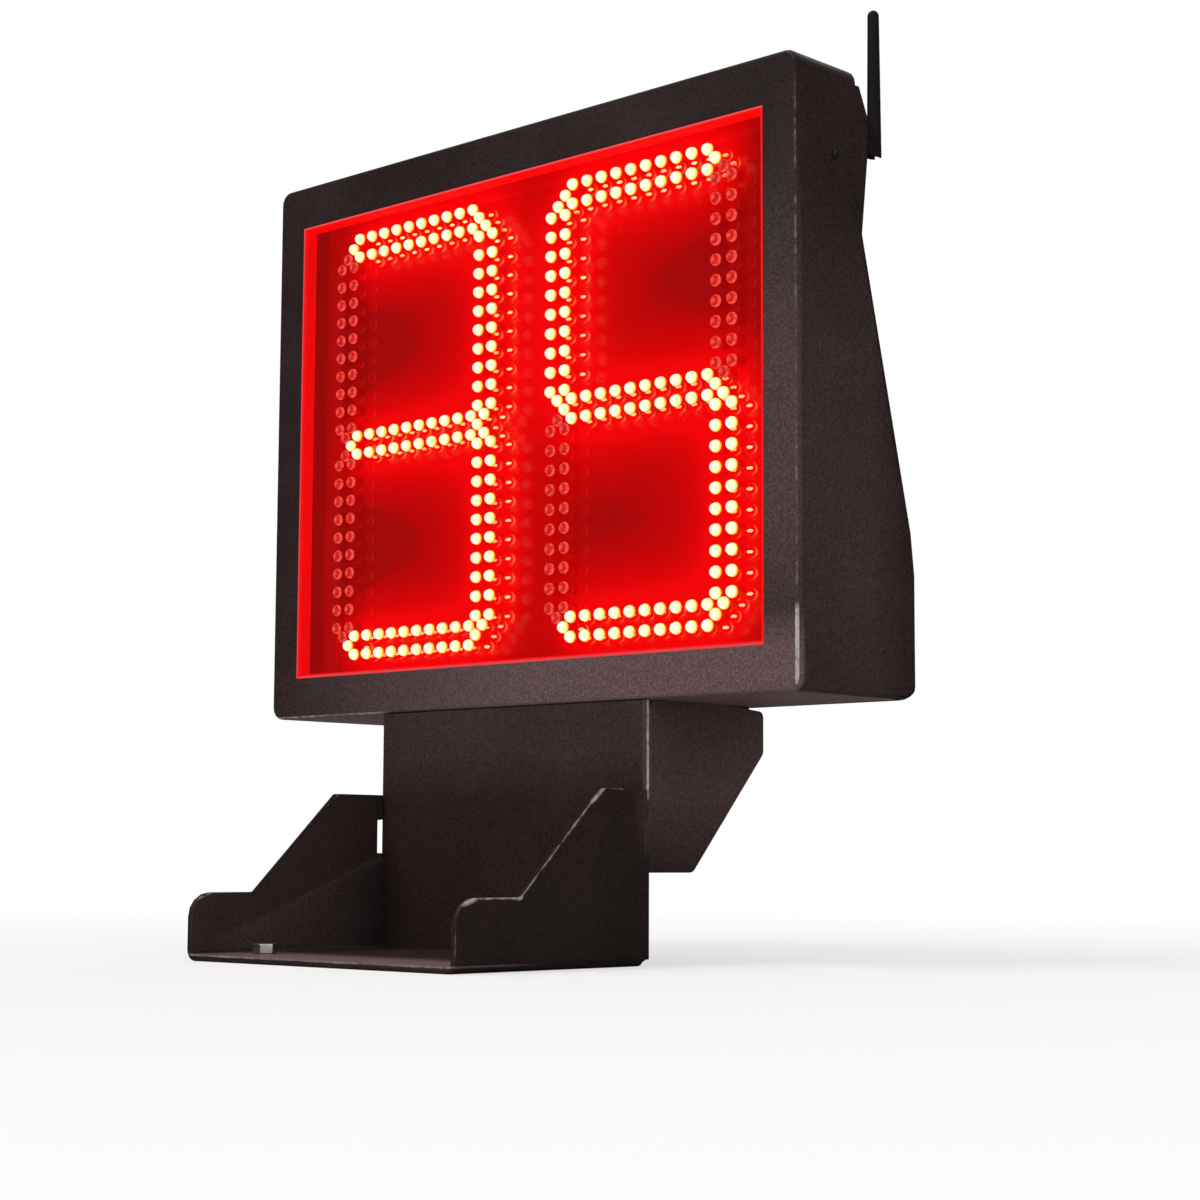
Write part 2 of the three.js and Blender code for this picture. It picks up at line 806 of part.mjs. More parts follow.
const chassisFlange = 12.5;
const chassisTop = 172;
const chassisFootLength = 28;
const cableSlotWidth = 9;
const cableSlotHeight = 26;
const cableSlotSide = digitSpacing / 2;
const chassisSideGap = 0.5;

const chassisDepth = boardDepth + boardThickness + seat + standoffLength + seat;
const chassisBack = chassisDepth + chassisSheet;
const chassisHalf = halfFace - housingSteel - chassisSideGap;
const chassisFoot = faceFoot + housingSteel + seat;

function chassisPlate() {
  const sideways = strip([
    [-chassisHalf, chassisBack + chassisFlange],
    [-chassisHalf, chassisDepth],
    [chassisHalf, chassisDepth],
    [chassisHalf, chassisBack + chassisFlange],
  ], 0, chassisSheet);
  const folded = prismZ(sideways, chassisFoot, chassisTop)
    .intersect(faceBlock(housingSteel + seat, 0, 0));
  const footHalf = clampBoltSide + clampBoltFlats;
  const foot = prismZ(
    rectangle(-footHalf, footHalf, chassisDepth, chassisBack + chassisFootLength),
    chassisFoot,
    chassisFoot + chassisSheet,
  );
  const footHoles = clampBoltPlaces.slice(0, 2).map(([x, y]) => prismZ(
    circle(x, y - postFace, clampBoltHole / 2, pinSides),
    chassisFoot - overrun,
    chassisFoot + chassisSheet + overrun,
  ));
  const slots = [-1, 1].map((side) => prismY(
    rectangle(
      side * cableSlotSide - cableSlotWidth / 2,
      side * cableSlotSide + cableSlotWidth / 2,
      -cableSlotHeight / 2,
      cableSlotHeight / 2,
    ),
    chassisDepth - overrun,
    chassisBack + overrun,
  ));
  const screwHole = prismX(
    circle(sideScrewDepth, sideScrewHeight, sideScrewShank / 2 + seat, pinSides),
    -halfFace,
    halfFace,
  );
  return cut(folded.add(foot), [...footHoles, ...slots, screwHole]);
}

add(head, 'chassis_plate', chassisPlate(), finish('#9a9da1', 0.45, 0.8));

// Standoffs
// Hexagon pillars carry each digit board at its four corners and the controller at its own.

const standoffFlats = 6;
const standoffInset = 8;

function standoff(length) {
  const outline = circle(0, 0, hexRadius(standoffFlats), boltSides);
  return prismY(outline, 0, length);
}

[-1, 1].forEach((side, i) => {
  [-1, 1].forEach((across) => {
    [-1, 1].forEach((high) => {
      const where = `${high > 0 ? 'top' : 'bottom'}_${across * side > 0 ? 'outer' : 'inner'}`;
      const mesh = add(head, `standoff_${sideNames[i]}_${where}`, standoff(standoffLength), brass());
      const edge = across > 0 ? boardTo(side) : boardFrom(side);
      mesh.position.set(
        (side * digitSpacing) / 2 + edge - across * standoffInset,
        boardDepth + boardThickness + seat,
        high * (boardHeight / 2 - standoffInset),
      );
    });
  });
});

// Controller board
// It carries a capacitor, a relay and two ribbon headers, and stands off the chassis.

const controllerWidth = 128;
const controllerHeight = 92;
const controllerStandoff = 8;
const headerLength = 22;
const headerWidth = 7;
const headerHeight = 6;
const relaySize = 19;
const relayHeight = 15;
const capacitorDiameter = 16;
const capacitorHeight = 25;

const controllerDepth = chassisBack + seat + controllerStandoff + seat;
const controllerBack = controllerDepth + boardThickness;

function controllerBoard() {
  const halfX = controllerWidth / 2;
  const halfZ = controllerHeight / 2;
  const sink = boardThickness / 2;
  const board = prismY(rectangle(-halfX, halfX, -halfZ, halfZ), 0, boardThickness);
  const headers = [-1, 1].map((side) => {
    const outer = side * (halfX - headerWidth / 2);
    return prismY(
      rectangle(outer - headerWidth / 2, outer + headerWidth / 2, -headerLength / 2, headerLength / 2),
      sink,
      boardThickness + headerHeight,
    );
  });
  const relayLow = standoffInset - halfZ;
  const relay = prismY(
    rectangle(-halfX / 2, -halfX / 2 + relaySize, relayLow, relayLow + relaySize),
    sink,
    boardThickness + relayHeight,
  );
  const capacitor = prismY(
    circle(halfX / 3, halfZ / 2, capacitorDiameter / 2, roundSides),
    sink,
    boardThickness + capacitorHeight,
  );
  const chip = prismY(
    rectangle(-relaySize / 2, relaySize / 2, halfZ / 8, halfZ / 8 + relaySize),
    sink,
    boardThickness * 2,
  );
  return joined([board, ...headers, relay, capacitor, chip]);
}

const controllerMesh = add(head, 'controller_board', controllerBoard(), circuitBoard());
controllerMesh.position.y = controllerDepth;

[-1, 1].forEach((side, i) => {
  [-1, 1].forEach((high) => {
    const name = `controller_standoff_${high > 0 ? 'top' : 'bottom'}_${sideNames[i]}`;
    const mesh = add(head, name, standoff(controllerStandoff), brass());
    mesh.position.set(
      side * (controllerWidth / 2 - standoffInset),
      chassisBack + seat,
      high * (controllerHeight / 2 - standoffInset),
    );
  });
});

// Ribbon cables
// One flat cable runs from a header on the back of each digit board, through a slot in the
// chassis, to the controller's header on that side.

const ribbonThickness = 1.2;
const ribbonWidth = 20;
const ribbonSlack = 12;

[-1, 1].forEach((side, i) => {
  const start = boardDepth + boardThickness + seat;
  const plug = controllerBack + headerHeight + seat;
  const crest = plug + ribbonSlack;
  const headerSide = controllerWidth / 2 - headerWidth / 2;
  const bend = ribbonSlack / 2;
  const line = rounded([
    [side * cableSlotSide, start],
    [side * cableSlotSide, crest, bend],
    [side * headerSide, crest, bend],
    [side * headerSide, plug],
  ], false);
  const outline = strip(line, -ribbonThickness / 2, ribbonThickness / 2);
  const ribbon = prismZ(outline, -ribbonWidth / 2, ribbonWidth / 2);
  add(head, `ribbon_cable_${sideNames[i]}`, ribbon, finish('#6e7074', 0.6, 0));
});

// Power supply
// An enclosed supply with an open terminal block along one edge, held flat on the chassis.

const supplyWidth = 129;
const supplyHeight = 98;
const supplyDepth = 36;
const supplyInset = 22.8;
const supplyBoltGap = 1.5;
const terminalDepth = 17;
const terminalStep = 15;

function powerSupply() {
  const halfX = supplyWidth / 2;
  const body = prismY(rectangle(-halfX, halfX, 0, supplyHeight), 0, supplyDepth);
  const step = prismY(
    rectangle(halfX - terminalStep, halfX + overrun, -overrun, supplyHeight + overrun),
    terminalDepth,
    supplyDepth + overrun,
  );
  return body.subtract(step);
}

const boltEnd = chassisFoot + chassisSheet + seat + clampNutHeight + clampThreadShown;
const supplyLow = boltEnd + supplyBoltGap;
const supplyMesh = add(head, 'power_supply', powerSupply(), finish('#a9adb0', 0.4, 0.8));
supplyMesh.position.set(supplyInset + supplyWidth / 2 - halfFace, chassisBack + seat, supplyLow);

// Horn
// A disc horn on a bent strap faces the slots in the cover.

const hornDiameter = 84;
const hornRim = 8;
const hornCan = 58;
const hornCanDepth = 20;
const hornNose = 22;
const hornNoseDepth = 6;
const hornGap = 8;
const strapWidth = 24;
const strapSheet = 2.5;
const strapLeg = 26;

const hornBack = headDepth - coverSteel - hornGap - hornNoseDepth - hornRim - hornCanDepth;

function hornBody() {
  const rimBack = hornCanDepth;
  const rimFront = hornCanDepth + hornRim;
  return turned([
    [0, 0],
    [hornCan / 2, 0],
    [hornCan / 2, rimBack],
    [hornDiameter / 2, rimBack],
    [hornDiameter / 2, rimFront],
    [hornNose, rimFront],
    [hornNose / 2, rimFront + hornNoseDepth],
    [0, rimFront + hornNoseDepth],
  ], roundSides, 0);
}

const hornMesh = add(head, 'horn', hornBody(), finish('#202124', 0.4, 0.5));
hornMesh.position.set(hornSide, hornBack, hornHeight);

function hornStrap() {
  const top = hornHeight + hornCan / 2 + strapLeg;
  const seatDepth = hornBack - seat - strapSheet;
  const line = [
    [chassisBack + seat, top],
    [chassisBack + seat, top - strapLeg],
    [seatDepth, top - strapLeg],
    [seatDepth, hornHeight - hornCan / 4],
  ];
  const shape = strip(line, 0, strapSheet);
  return prismX(shape, hornSide - strapWidth / 2, hornSide + strapWidth / 2);
}

add(head, 'horn_strap', hornStrap(), zincPlate());

// Power inlet
// A three-pin appliance inlet with a screw flange outside the cover.

const inletFlangeWidth = 49;
const inletFlangeHeight = 23;
const inletFlangeThickness = 3;
const inletBodyDepth = 20;
const inletRecessWidth = 24;
const inletRecessHeight = 16.6;
const inletRecessDepth = 18;
const inletRecessChamfer = 4;
const inletPinLength = 12;
const inletPinWidth = 2;
const inletPinHeight = 4;
const inletPinPitch = 7;
const inletEarthRise = 2;

function powerInlet() {
  const halfX = inletFlangeWidth / 2;
  const halfZ = inletFlangeHeight / 2;
  const flange = prismY(rounded([
    [-halfX, -halfZ, halfZ / 2],
    [halfX, -halfZ, halfZ / 2],
    [halfX, halfZ, halfZ / 2],
    [-halfX, halfZ, halfZ / 2],
  ]), 0, inletFlangeThickness);
  const body = prismY(
    rectangle(-inletBodyWidth / 2, inletBodyWidth / 2, -inletBodyHeight / 2, inletBodyHeight / 2),
    -inletBodyDepth,
    inletFlangeThickness / 2,
  );
  const wide = inletRecessWidth / 2;
  const tall = inletRecessHeight / 2;
  const recessFloor = inletFlangeThickness - inletRecessDepth;
  const recess = prismY([
    [-wide, -tall],
    [wide, -tall],
    [wide, tall - inletRecessChamfer],
    [wide - inletRecessChamfer, tall],
    [-wide + inletRecessChamfer, tall],
    [-wide, tall - inletRecessChamfer],
  ], recessFloor, inletFlangeThickness + overrun);
  const pins = [-1, 0, 1].map((place) => {
    const rise = place === 0 ? inletEarthRise : -inletEarthRise;
    return prismY(
      rectangle(
        place * inletPinPitch - inletPinWidth / 2,
        place * inletPinPitch + inletPinWidth / 2,
        rise - inletPinHeight / 2,
        rise + inletPinHeight / 2,
      ),
      recessFloor - overrun / 2,
      recessFloor + inletPinLength,
    );
  });
  return joined([flange.add(body).subtract(recess), ...pins]);
}

const inletMesh = add(head, 'power_inlet', powerInlet(), blackPlastic());
inletMesh.position.set(inletSide, headDepth + seat, inletHeight);

// Power switch
// A rocker tips about a pin in a small snap-in housing beside the inlet.

const switchBezel = 1.5;
const switchBezelRim = 1.8;
const switchBodyDepth = 14;
const rockerRadius = 7.6;
const rockerWidth = 9.4;
const rockerTilt = 10;
const rockerPivotDepth = 1;
const rockerDish = 1.2;
const rockerSteps = 10;
const rockerPinRadius = 1;

function switchHousing() {
  const halfX = switchWidth / 2;
  const halfZ = switchHeight / 2;
  const rim = rectangle(
    -halfX - switchBezelRim,
    halfX + switchBezelRim,
    -halfZ - switchBezelRim,
    halfZ + switchBezelRim,
  );
  const bezel = prismY(rim, 0, switchBezel);
  const body = prismY(rectangle(-halfX, halfX, -halfZ, halfZ), -switchBodyDepth, switchBezel / 2);
  const pocket = prismY(
    rectangle(
      -rockerWidth / 2 - seat,
      rockerWidth / 2 + seat,
      -rockerRadius - seat,
      rockerRadius + seat,
    ),
    -rockerPivotDepth - rockerRadius - seat,
    switchBezel + overrun,
  );
  const pinHole = prismX(
    circle(-rockerPivotDepth, 0, rockerPinRadius + seat, pinSides),
    -halfX + seat,
    halfX - seat,
  );
  return cut(bezel.add(body), [pocket, pinHole]);
}

// The rocker's side view: round below its pin, and a shallow dish between its two raised ends.
function rockerBody() {
  const rise = THREE.MathUtils.degToRad(rockerTilt);
  const outline = arc(0, 0, rockerRadius, quarterTurn - rise, halfTurn + quarterTurn + rise, rockerSteps);
  outline.push([rockerRadius * Math.sin(rise) - rockerDish, 0]);
  const paddle = prismX(outline, -rockerWidth / 2, rockerWidth / 2);
  const pinReach = switchWidth / 2 - 2 * seat;
  const pin = prismX(circle(0, 0, rockerPinRadius, pinSides), -pinReach, pinReach);
  return paddle.add(pin);
}

const switchGroup = new THREE.Group();
switchGroup.position.set(switchSide, headDepth + seat, inletHeight);
head.add(switchGroup);
add(switchGroup, 'switch_housing', switchHousing(), blackPlastic());
const rockerMesh = add(switchGroup, 'switch_rocker', rockerBody(), finish('#1b1b1e', 0.35, 0));
rockerMesh.position.y = -rockerPivotDepth;
rockerMesh.rotation.x = THREE.MathUtils.degToRad(rockerTilt);

// Antenna
// A bulkhead jack in the cover takes a swivelling elbow, and the whip folds on the elbow's pin.

const jackFlangeThickness = 2.5;
const jackInside = 14;
const jackOutside = 9;
const jackNutThickness = 2.2;
const couplingFlats = 9;
const couplingLength = 7;
const couplingFloor = 2.4;
const elbowRadius = 4.6;
const elbowDrop = 5.1;
const elbowSteps = 3;
const earThickness = 2.3;
const tongueThickness = 3.8;
const hingePinRadius = 1.2;
const whipRootRadius = 4.4;
const whipTipRadius = 3.6;

const antenna = new THREE.Group();
antenna.position.set(antennaSide, jackFace, antennaHeight);
head.add(antenna);

function antennaJack() {
  const inside = -coverSteel - seat;
  const barrel = prismY(circle(0, 0, jackThread / 2, pinSides), inside - jackInside, jackOutside);
  const flange = prismY(
    circle(0, 0, hexRadius(jackFlats), boltSides),
    inside - jackFlangeThickness,
    inside,
  );
  return barrel.add(flange);
}

add(antenna, 'antenna_jack', antennaJack(), brass());

const jackNut = hexNut(jackFlats, jackNutThickness, jackThread + 2 * seat);
const jackNutMesh = add(antenna, 'antenna_jack_nut', jackNut, brass());
jackNutMesh.rotation.x = -quarterTurn;
jackNutMesh.position.y = seat;

const couplingStart = seat + jackNutThickness + seat;
const couplingEnd = couplingStart + couplingLength;
const earInside = tongueThickness / 2 + seat;
const earOutside = earInside + earThickness;
const tongueEnd = elbowRadius - seat;

// The whip's tongue seen from the side: a round end about the hinge pin, and a run up from it.
const hingeArm = (radius, reach) => [
  ...arc(0, 0, radius, -halfTurn, 0, 2 * cornerSteps),
  [radius, reach],
  [-radius, reach],
];

function antennaElbow() {
  const coupling = prismY(
    circle(0, 0, hexRadius(couplingFlats), boltSides),
    couplingStart,
    couplingEnd,
  );
  const bore = prismY(
    circle(0, 0, jackThread / 2 + seat, pinSides),
    couplingStart - overrun,
    jackOutside + seat,
  );
  const armStart = couplingEnd - couplingFloor / 2;
  const armSide = [
    ...arc(whipReach, 0, elbowRadius, 0, quarterTurn, elbowSteps),
    [armStart, elbowRadius],
    [armStart, -elbowDrop],
    [whipReach + elbowRadius, -elbowDrop],
  ];
  const armPlan = [
    ...arc(0, whipReach, earOutside, 0, halfTurn, 2 * cornerSteps),
    [-earOutside, couplingStart],
    [earOutside, couplingStart],
  ];
  const arm = prismX(armSide, -earOutside, earOutside)
    .intersect(prismZ(armPlan, -elbowDrop - overrun, elbowRadius + overrun));
  const fork = prismX(
    rectangle(
      couplingEnd + couplingFloor,
      whipReach + elbowRadius + overrun,
      -elbowDrop - overrun,
      elbowRadius + overrun,
    ),
    -earInside,
    earInside,
  );
  const pinHole = prismX(
    circle(whipReach, 0, hingePinRadius + seat, pinSides),
    -earOutside - overrun,
    earOutside + overrun,
  );
  return cut(coupling.add(arm), [bore, fork, pinHole]);
}

add(antenna, 'antenna_elbow', antennaElbow(), blackPlastic());

const hingePin = prismX(circle(whipReach, 0, hingePinRadius, pinSides), -earOutside, earOutside);
add(antenna, 'antenna_hinge_pin', hingePin, zincPlate());

function antennaWhip() {
  const root = elbowRadius + seat;
  const stem = turned([
    [0, root],
    [whipRootRadius, root],
    [whipRootRadius, root + whipRootRadius],
    ...arc(0, whipLength - whipTipRadius, whipTipRadius, 0, quarterTurn, cornerSteps),
  ], roundSides, quarterTurn);
  const tongue = prismX(
    hingeArm(tongueEnd, root + seat),
    -tongueThickness / 2,
    tongueThickness / 2,
  );
  const pinHole = prismX(circle(0, 0, hingePinRadius + seat, pinSides), -elbowRadius, elbowRadius);
  return stem.add(tongue).subtract(pinHole);
}

const whipMesh = add(antenna, 'antenna_whip', antennaWhip(), blackPlastic());
whipMesh.position.y = whipReach;

// Radio module
// A small shielded board beside the antenna, with a coaxial lead up to the jack.

const radioWidth = 34;
const radioHeight = 26;
const radioInset = 62.3;
const radioRise = 105;
const shieldInset = 3;
const shieldHeight = 4;
const radioStandoff = 6;
const coaxDiameter = 3;
const coaxSides = 8;
const coaxSteps = 14;

const radioSide = halfFace - radioInset;
const radioDepth = chassisBack + seat;

function radioModule() {
  const halfX = radioWidth / 2;
  const halfZ = radioHeight / 2;
  const board = prismY(
    rectangle(-halfX, halfX, -halfZ, halfZ),
    radioStandoff,
    radioStandoff + boardThickness,
  );
  const shield = prismY(
    rectangle(-halfX + shieldInset, halfX - shieldInset, -halfZ + shieldInset, halfZ - shieldInset),
    radioStandoff + boardThickness / 2,
    radioStandoff + boardThickness + shieldHeight,
  );
  const legs = [-1, 1].map((side) => prismY(
    circle(side * (halfX - shieldInset), 0, shieldInset - seat, pinSides),
    0,
    radioStandoff + boardThickness / 2,
  ));
  return joined([board, shield, ...legs]);
}

const radioMesh = add(head, 'radio_module', radioModule(), circuitBoard());
radioMesh.position.set(radioSide, radioDepth, radioRise);

function coaxLead() {
  const endDepth = jackFace - coverSteel - seat - jackInside - seat;
  const startSide = radioSide + radioWidth / 2 + seat;
  const startDepth = radioDepth + radioStandoff + boardThickness / 2;
  const route = new THREE.CatmullRomCurve3([
    new THREE.Vector3(startSide, startDepth, radioRise),
    new THREE.Vector3(startSide + coaxDiameter * 2, startDepth, radioRise),
    new THREE.Vector3(antennaSide - coaxDiameter, startDepth - coaxDiameter, antennaHeight - radioHeight),
    new THREE.Vector3(antennaSide, endDepth - coaxDiameter * 2, antennaHeight),
    new THREE.Vector3(antennaSide, endDepth, antennaHeight),
  ]);
  const outline = circle(0, 0, coaxDiameter / 2, coaxSides).map(([a, b]) => new THREE.Vector2(a, b));
  const geometry = new THREE.ExtrudeGeometry(new THREE.Shape(outline), {
    steps: coaxSteps,
    extrudePath: route,
    bevelEnabled: false,
  });
  return solid(geometry);
}

add(head, 'antenna_coax', coaxLead(), blackPlastic());

export default clock;
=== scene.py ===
import math

import bmesh
import bpy
import numpy as np
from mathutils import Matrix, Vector


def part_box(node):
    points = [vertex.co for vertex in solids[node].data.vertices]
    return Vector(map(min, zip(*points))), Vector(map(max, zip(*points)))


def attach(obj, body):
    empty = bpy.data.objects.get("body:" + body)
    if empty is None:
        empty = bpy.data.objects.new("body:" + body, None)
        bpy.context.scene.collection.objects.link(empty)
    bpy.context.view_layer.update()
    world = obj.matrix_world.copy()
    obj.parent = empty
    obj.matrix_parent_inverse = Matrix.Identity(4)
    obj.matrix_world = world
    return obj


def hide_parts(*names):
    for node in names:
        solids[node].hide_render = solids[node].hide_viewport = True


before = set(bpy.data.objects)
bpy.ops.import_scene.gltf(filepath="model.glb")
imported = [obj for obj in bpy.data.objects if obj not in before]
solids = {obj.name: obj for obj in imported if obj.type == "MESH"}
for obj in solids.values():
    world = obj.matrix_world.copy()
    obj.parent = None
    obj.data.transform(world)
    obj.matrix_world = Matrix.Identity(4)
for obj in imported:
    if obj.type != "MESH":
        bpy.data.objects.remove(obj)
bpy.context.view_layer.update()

# Camera
# It stands below the clock's middle, to its front right, and looks a little up, as the photograph does.
# The lens is long for the distance, so the head keeps its upright edges nearly parallel.

camera_data = bpy.data.cameras.new("camera")
camera_data.lens = 72.56
camera_data.sensor_width = 36
camera = bpy.data.objects.new("camera", camera_data)
camera.location = (1.1035, -1.0017, 0.0648)
camera.rotation_euler = [math.radians(degrees) for degrees in (96.0734, -0.26, 43.3983)]
bpy.context.scene.collection.objects.link(camera)
bpy.context.scene.camera = camera

# Bracket
# One 4 mm steel sheet, cut and bent into a foot plate, two flanges, a post, two wings and a top flange,
# then powder coated. Two bolts hold its foot. The coat has rubbed through to its pale primer along the
# flanges' edges and the foot plate's front.


def add_node(tree, kind, inputs=None, **settings):
    """One node with its settings; an input takes a number, a colour or another node's output."""
    node = tree.nodes.new(kind)
    for name, value in settings.items():
        setattr(node, name, value)
    for name, value in (inputs or {}).items():
        if isinstance(value, bpy.types.NodeSocket):
            tree.links.new(value, node.inputs[name])
        else:
            node.inputs[name].default_value = value
    return node


def linear(code):
    """The linear colour of an sRGB hex value."""
    channels = [int(code[i : i + 2], 16) / 255 for i in (1, 3, 5)]
    return [c / 12.92 if c <= 0.04045 else ((c + 0.055) / 1.055) ** 2.4 for c in channels] + [1.0]


def new_finish(name):
    """An empty material with its tree, its output and the object's own coordinates."""
    finish = bpy.data.materials.new(name)
    finish.use_nodes = True
    tree = finish.node_tree
    tree.nodes.clear()
    place = add_node(tree, "ShaderNodeTexCoord").outputs["Object"]
    output = add_node(tree, "ShaderNodeOutputMaterial")
    return finish, tree, place, output


def soft_copy(name, *sources, edge, finish):
    """CAD solids merged into one closed mesh whose sharp edges are rounded, edge in millimetres. An edge
    stays sharp where a corner has no room for that, and flat faces keep their flat shading."""
    shape = bmesh.new()
    for source in sources:
        shape.from_mesh(solids[source].data)
    bmesh.ops.remove_doubles(shape, verts=shape.verts, dist=2e-6)
    bmesh.ops.dissolve_limit(
        shape, angle_limit=math.radians(0.4), verts=shape.verts, edges=shape.edges
    )
    # the rounding takes its width at both ends of a side, and a little is left between
    room = edge * 2.2 / 1000
    sharp = math.radians(32)
    cramped = {v for v in shape.verts if min(e.calc_length() for e in v.link_edges) < room}
    weights = shape.edges.layers.float.new("bevel_weight_edge")
    for side in shape.edges:
        roomy = side.is_manifold and not cramped.intersection(side.verts)
        if roomy and side.calc_face_angle() > sharp:
            side[weights] = 1.0
    mesh = bpy.data.meshes.new(name)
    shape.to_mesh(mesh)
    shape.free()
    mesh.materials.append(finish)
    mesh.shade_smooth()
    piece = bpy.data.objects.new(name, mesh)
    bpy.context.scene.collection.objects.link(piece)
    rounding = piece.modifiers.new("rounded edges", "BEVEL")
    rounding.width = edge / 1000
    rounding.segments = 2
    rounding.limit_method = "WEIGHT"
    rounding.harden_normals = True
    rounding.use_clamp_overlap = False
    merged = piece.modifiers.new("merged points", "WELD")
    merged.merge_threshold = 3e-6
    flats = piece.modifiers.new("flat faces", "WEIGHTED_NORMAL")
    flats.mode = "FACE_AREA"
    flats.weight = 90
    flats.keep_sharp = True
    settled = bpy.data.meshes.new_from_object(
        piece.evaluated_get(bpy.context.evaluated_depsgraph_get())
    )
    piece.modifiers.clear()
    piece.data = settled
    return piece


def near_box(tree, place, low, high, fade, strength):
    """A mask that is full inside a box of the object's coordinates and fades out over a length on each
    axis."""
    middle = [(a + b) / 2 for a, b in zip(low, high)]
    half = [(b - a) / 2 for a, b in zip(low, high)]
    nothing = (0, 0, 0)
    away = place
    for operation, other in (
        ("SUBTRACT", middle),
        ("ABSOLUTE", nothing),
        ("SUBTRACT", half),
        ("MAXIMUM", nothing),
        ("DIVIDE", fade),
    ):
        away = add_node(
            tree, "ShaderNodeVectorMath", {0: away, 1: other}, operation=operation
        ).outputs[0]
    reach = add_node(tree, "ShaderNodeVectorMath", {0: away}, operation="LENGTH").outputs["Value"]
    return add_node(
        tree, "ShaderNodeMapRange", {"Value": reach, "To Min": strength, "To Max": 0.0}
    ).outputs["Result"]


def near_line(tree, place, start, end, fade, strength):
    """A mask that is full on a straight line and fades out over a distance from it."""
    start, end = Vector(start), Vector(end)
    run = end - start
    away = add_node(
        tree, "ShaderNodeVectorMath", {0: place, 1: start}, operation="SUBTRACT"
    ).outputs[0]
    along = add_node(
        tree, "ShaderNodeVectorMath", {0: away, 1: run / run.length_squared}, operation="DOT_PRODUCT"
    ).outputs["Value"]
    along = add_node(tree, "ShaderNodeClamp", {"Value": along}).outputs[0]
    nearest = add_node(
        tree, "ShaderNodeVectorMath", {0: run, "Scale": along}, operation="SCALE"
    ).outputs[0]
    reach = add_node(
        tree, "ShaderNodeVectorMath", {0: away, 1: nearest}, operation="DISTANCE"
    ).outputs["Value"]
    return add_node(
        tree,
        "ShaderNodeMapRange",
        {"Value": reach, "From Max": fade, "To Min": strength, "To Max": 0.0},
    ).outputs["Result"]


def widest(tree, masks):
    """The largest of several masks at each place."""
    result = masks[0]
    for mask in masks[1:]:
        result = add_node(tree, "ShaderNodeMath", {0: result, 1: mask}, operation="MAXIMUM").outputs[0]
    return result


def powder_coat(name, painted_sheen=(), rubbed=(), worn_lines=(), painted_shade=()):
    """Textured polyester powder baked on steel: a brown-black skin whose fine pebbles scatter the light.
    A painted sheen turns it a paler plum grey in some zones, and a painted shade darkens it in others.
    Where it is rubbed, the pale primer shows through in chips. Pebbles are drawn 1.1 mm wide so that they
    show. A painted sheen, rubbed or painted shade zone is a box's low corner, its high corner, the length
    it fades over on each axis, and its strength. A worn line is its start, its end, its reach to either
    side, and its strength."""
    finish, tree, place, output = new_finish(name)
    cloud = add_node(
        tree, "ShaderNodeTexNoise", {"Vector": place, "Scale": 14.0, "Detail": 4.0}
    ).outputs["Fac"]
    speck = add_node(
        tree, "ShaderNodeTexNoise", {"Vector": place, "Scale": 900.0, "Detail": 2.0}
    ).outputs["Fac"]
    tone = add_node(
        tree, "ShaderNodeMapRange", {"Value": cloud, "From Min": 0.3, "From Max": 0.7}
    ).outputs["Result"]
    colour = add_node(
        tree,
        "ShaderNodeMix",
        {0: tone, 6: linear("#261b1a"), 7: linear("#302322")},
        data_type="RGBA",
    ).outputs[2]
    if painted_sheen:
        # painted sheen: the coat is mixed towards a pale plum grey inside these zones
        pale = widest(tree, [near_box(tree, place, *zone) for zone in painted_sheen])
        colour = add_node(
            tree, "ShaderNodeMix", {0: pale, 6: colour, 7: linear("#6e5758")}, data_type="RGBA"
        ).outputs[2]
    if painted_shade:
        # painted shade: the coat is mixed towards near black inside these zones
        painted_shade_mask = widest(tree, [near_box(tree, place, *zone) for zone in painted_shade])
        colour = add_node(
            tree, "ShaderNodeMix", {0: painted_shade_mask, 6: colour, 7: linear("#120c0b")}, data_type="RGBA"
        ).outputs[2]
    grain = add_node(
        tree,
        "ShaderNodeMapRange",
        {"Value": speck, "From Min": 0.38, "From Max": 0.7, "To Min": 0.72, "To Max": 1.55},
    ).outputs["Result"]
    colour = add_node(
        tree, "ShaderNodeVectorMath", {0: colour, "Scale": grain}, operation="SCALE"
    ).outputs[0]
    relief = add_node(
        tree, "ShaderNodeBump", {"Height": speck, "Strength": 0.4, "Distance": 0.0002}
    ).outputs["Normal"]
    rough = add_node(
        tree, "ShaderNodeMapRange", {"Value": cloud, "To Min": 0.44, "To Max": 0.58}
    ).outputs["Result"]
    skin = add_node(
        tree,
        "ShaderNodeBsdfPrincipled",
        {"Base Color": colour, "Roughness": rough, "Normal": relief, "Specular IOR Level": 0.16},
    ).outputs["BSDF"]
    if rubbed or worn_lines:
        chips = add_node(
            tree,
            "ShaderNodeTexNoise",
            {"Vector": place, "Scale": 170.0, "Detail": 5.0, "Roughness": 0.62},
        ).outputs["Fac"]
        worn = [near_box(tree, place, *zone) for zone in rubbed]
        worn = widest(tree, worn + [near_line(tree, place, *line) for line in worn_lines])
        reached = add_node(
            tree, "ShaderNodeMath", {0: chips, 1: worn}, operation="MULTIPLY"
        ).outputs[0]
        bare = add_node(
            tree, "ShaderNodeMapRange", {"Value": reached, "From Min": 0.2, "From Max": 0.52}
        ).outputs["Result"]
        primer = add_node(
            tree,
            "ShaderNodeBsdfPrincipled",
            {"Base Color": linear("#b5aba8"), "Roughness": 0.55, "Specular IOR Level": 0.3},
        ).outputs["BSDF"]
        skin = add_node(tree, "ShaderNodeMixShader", {0: bare, 1: skin, 2: primer}).outputs[0]
    tree.links.new(skin, output.inputs["Surface"])
    return finish


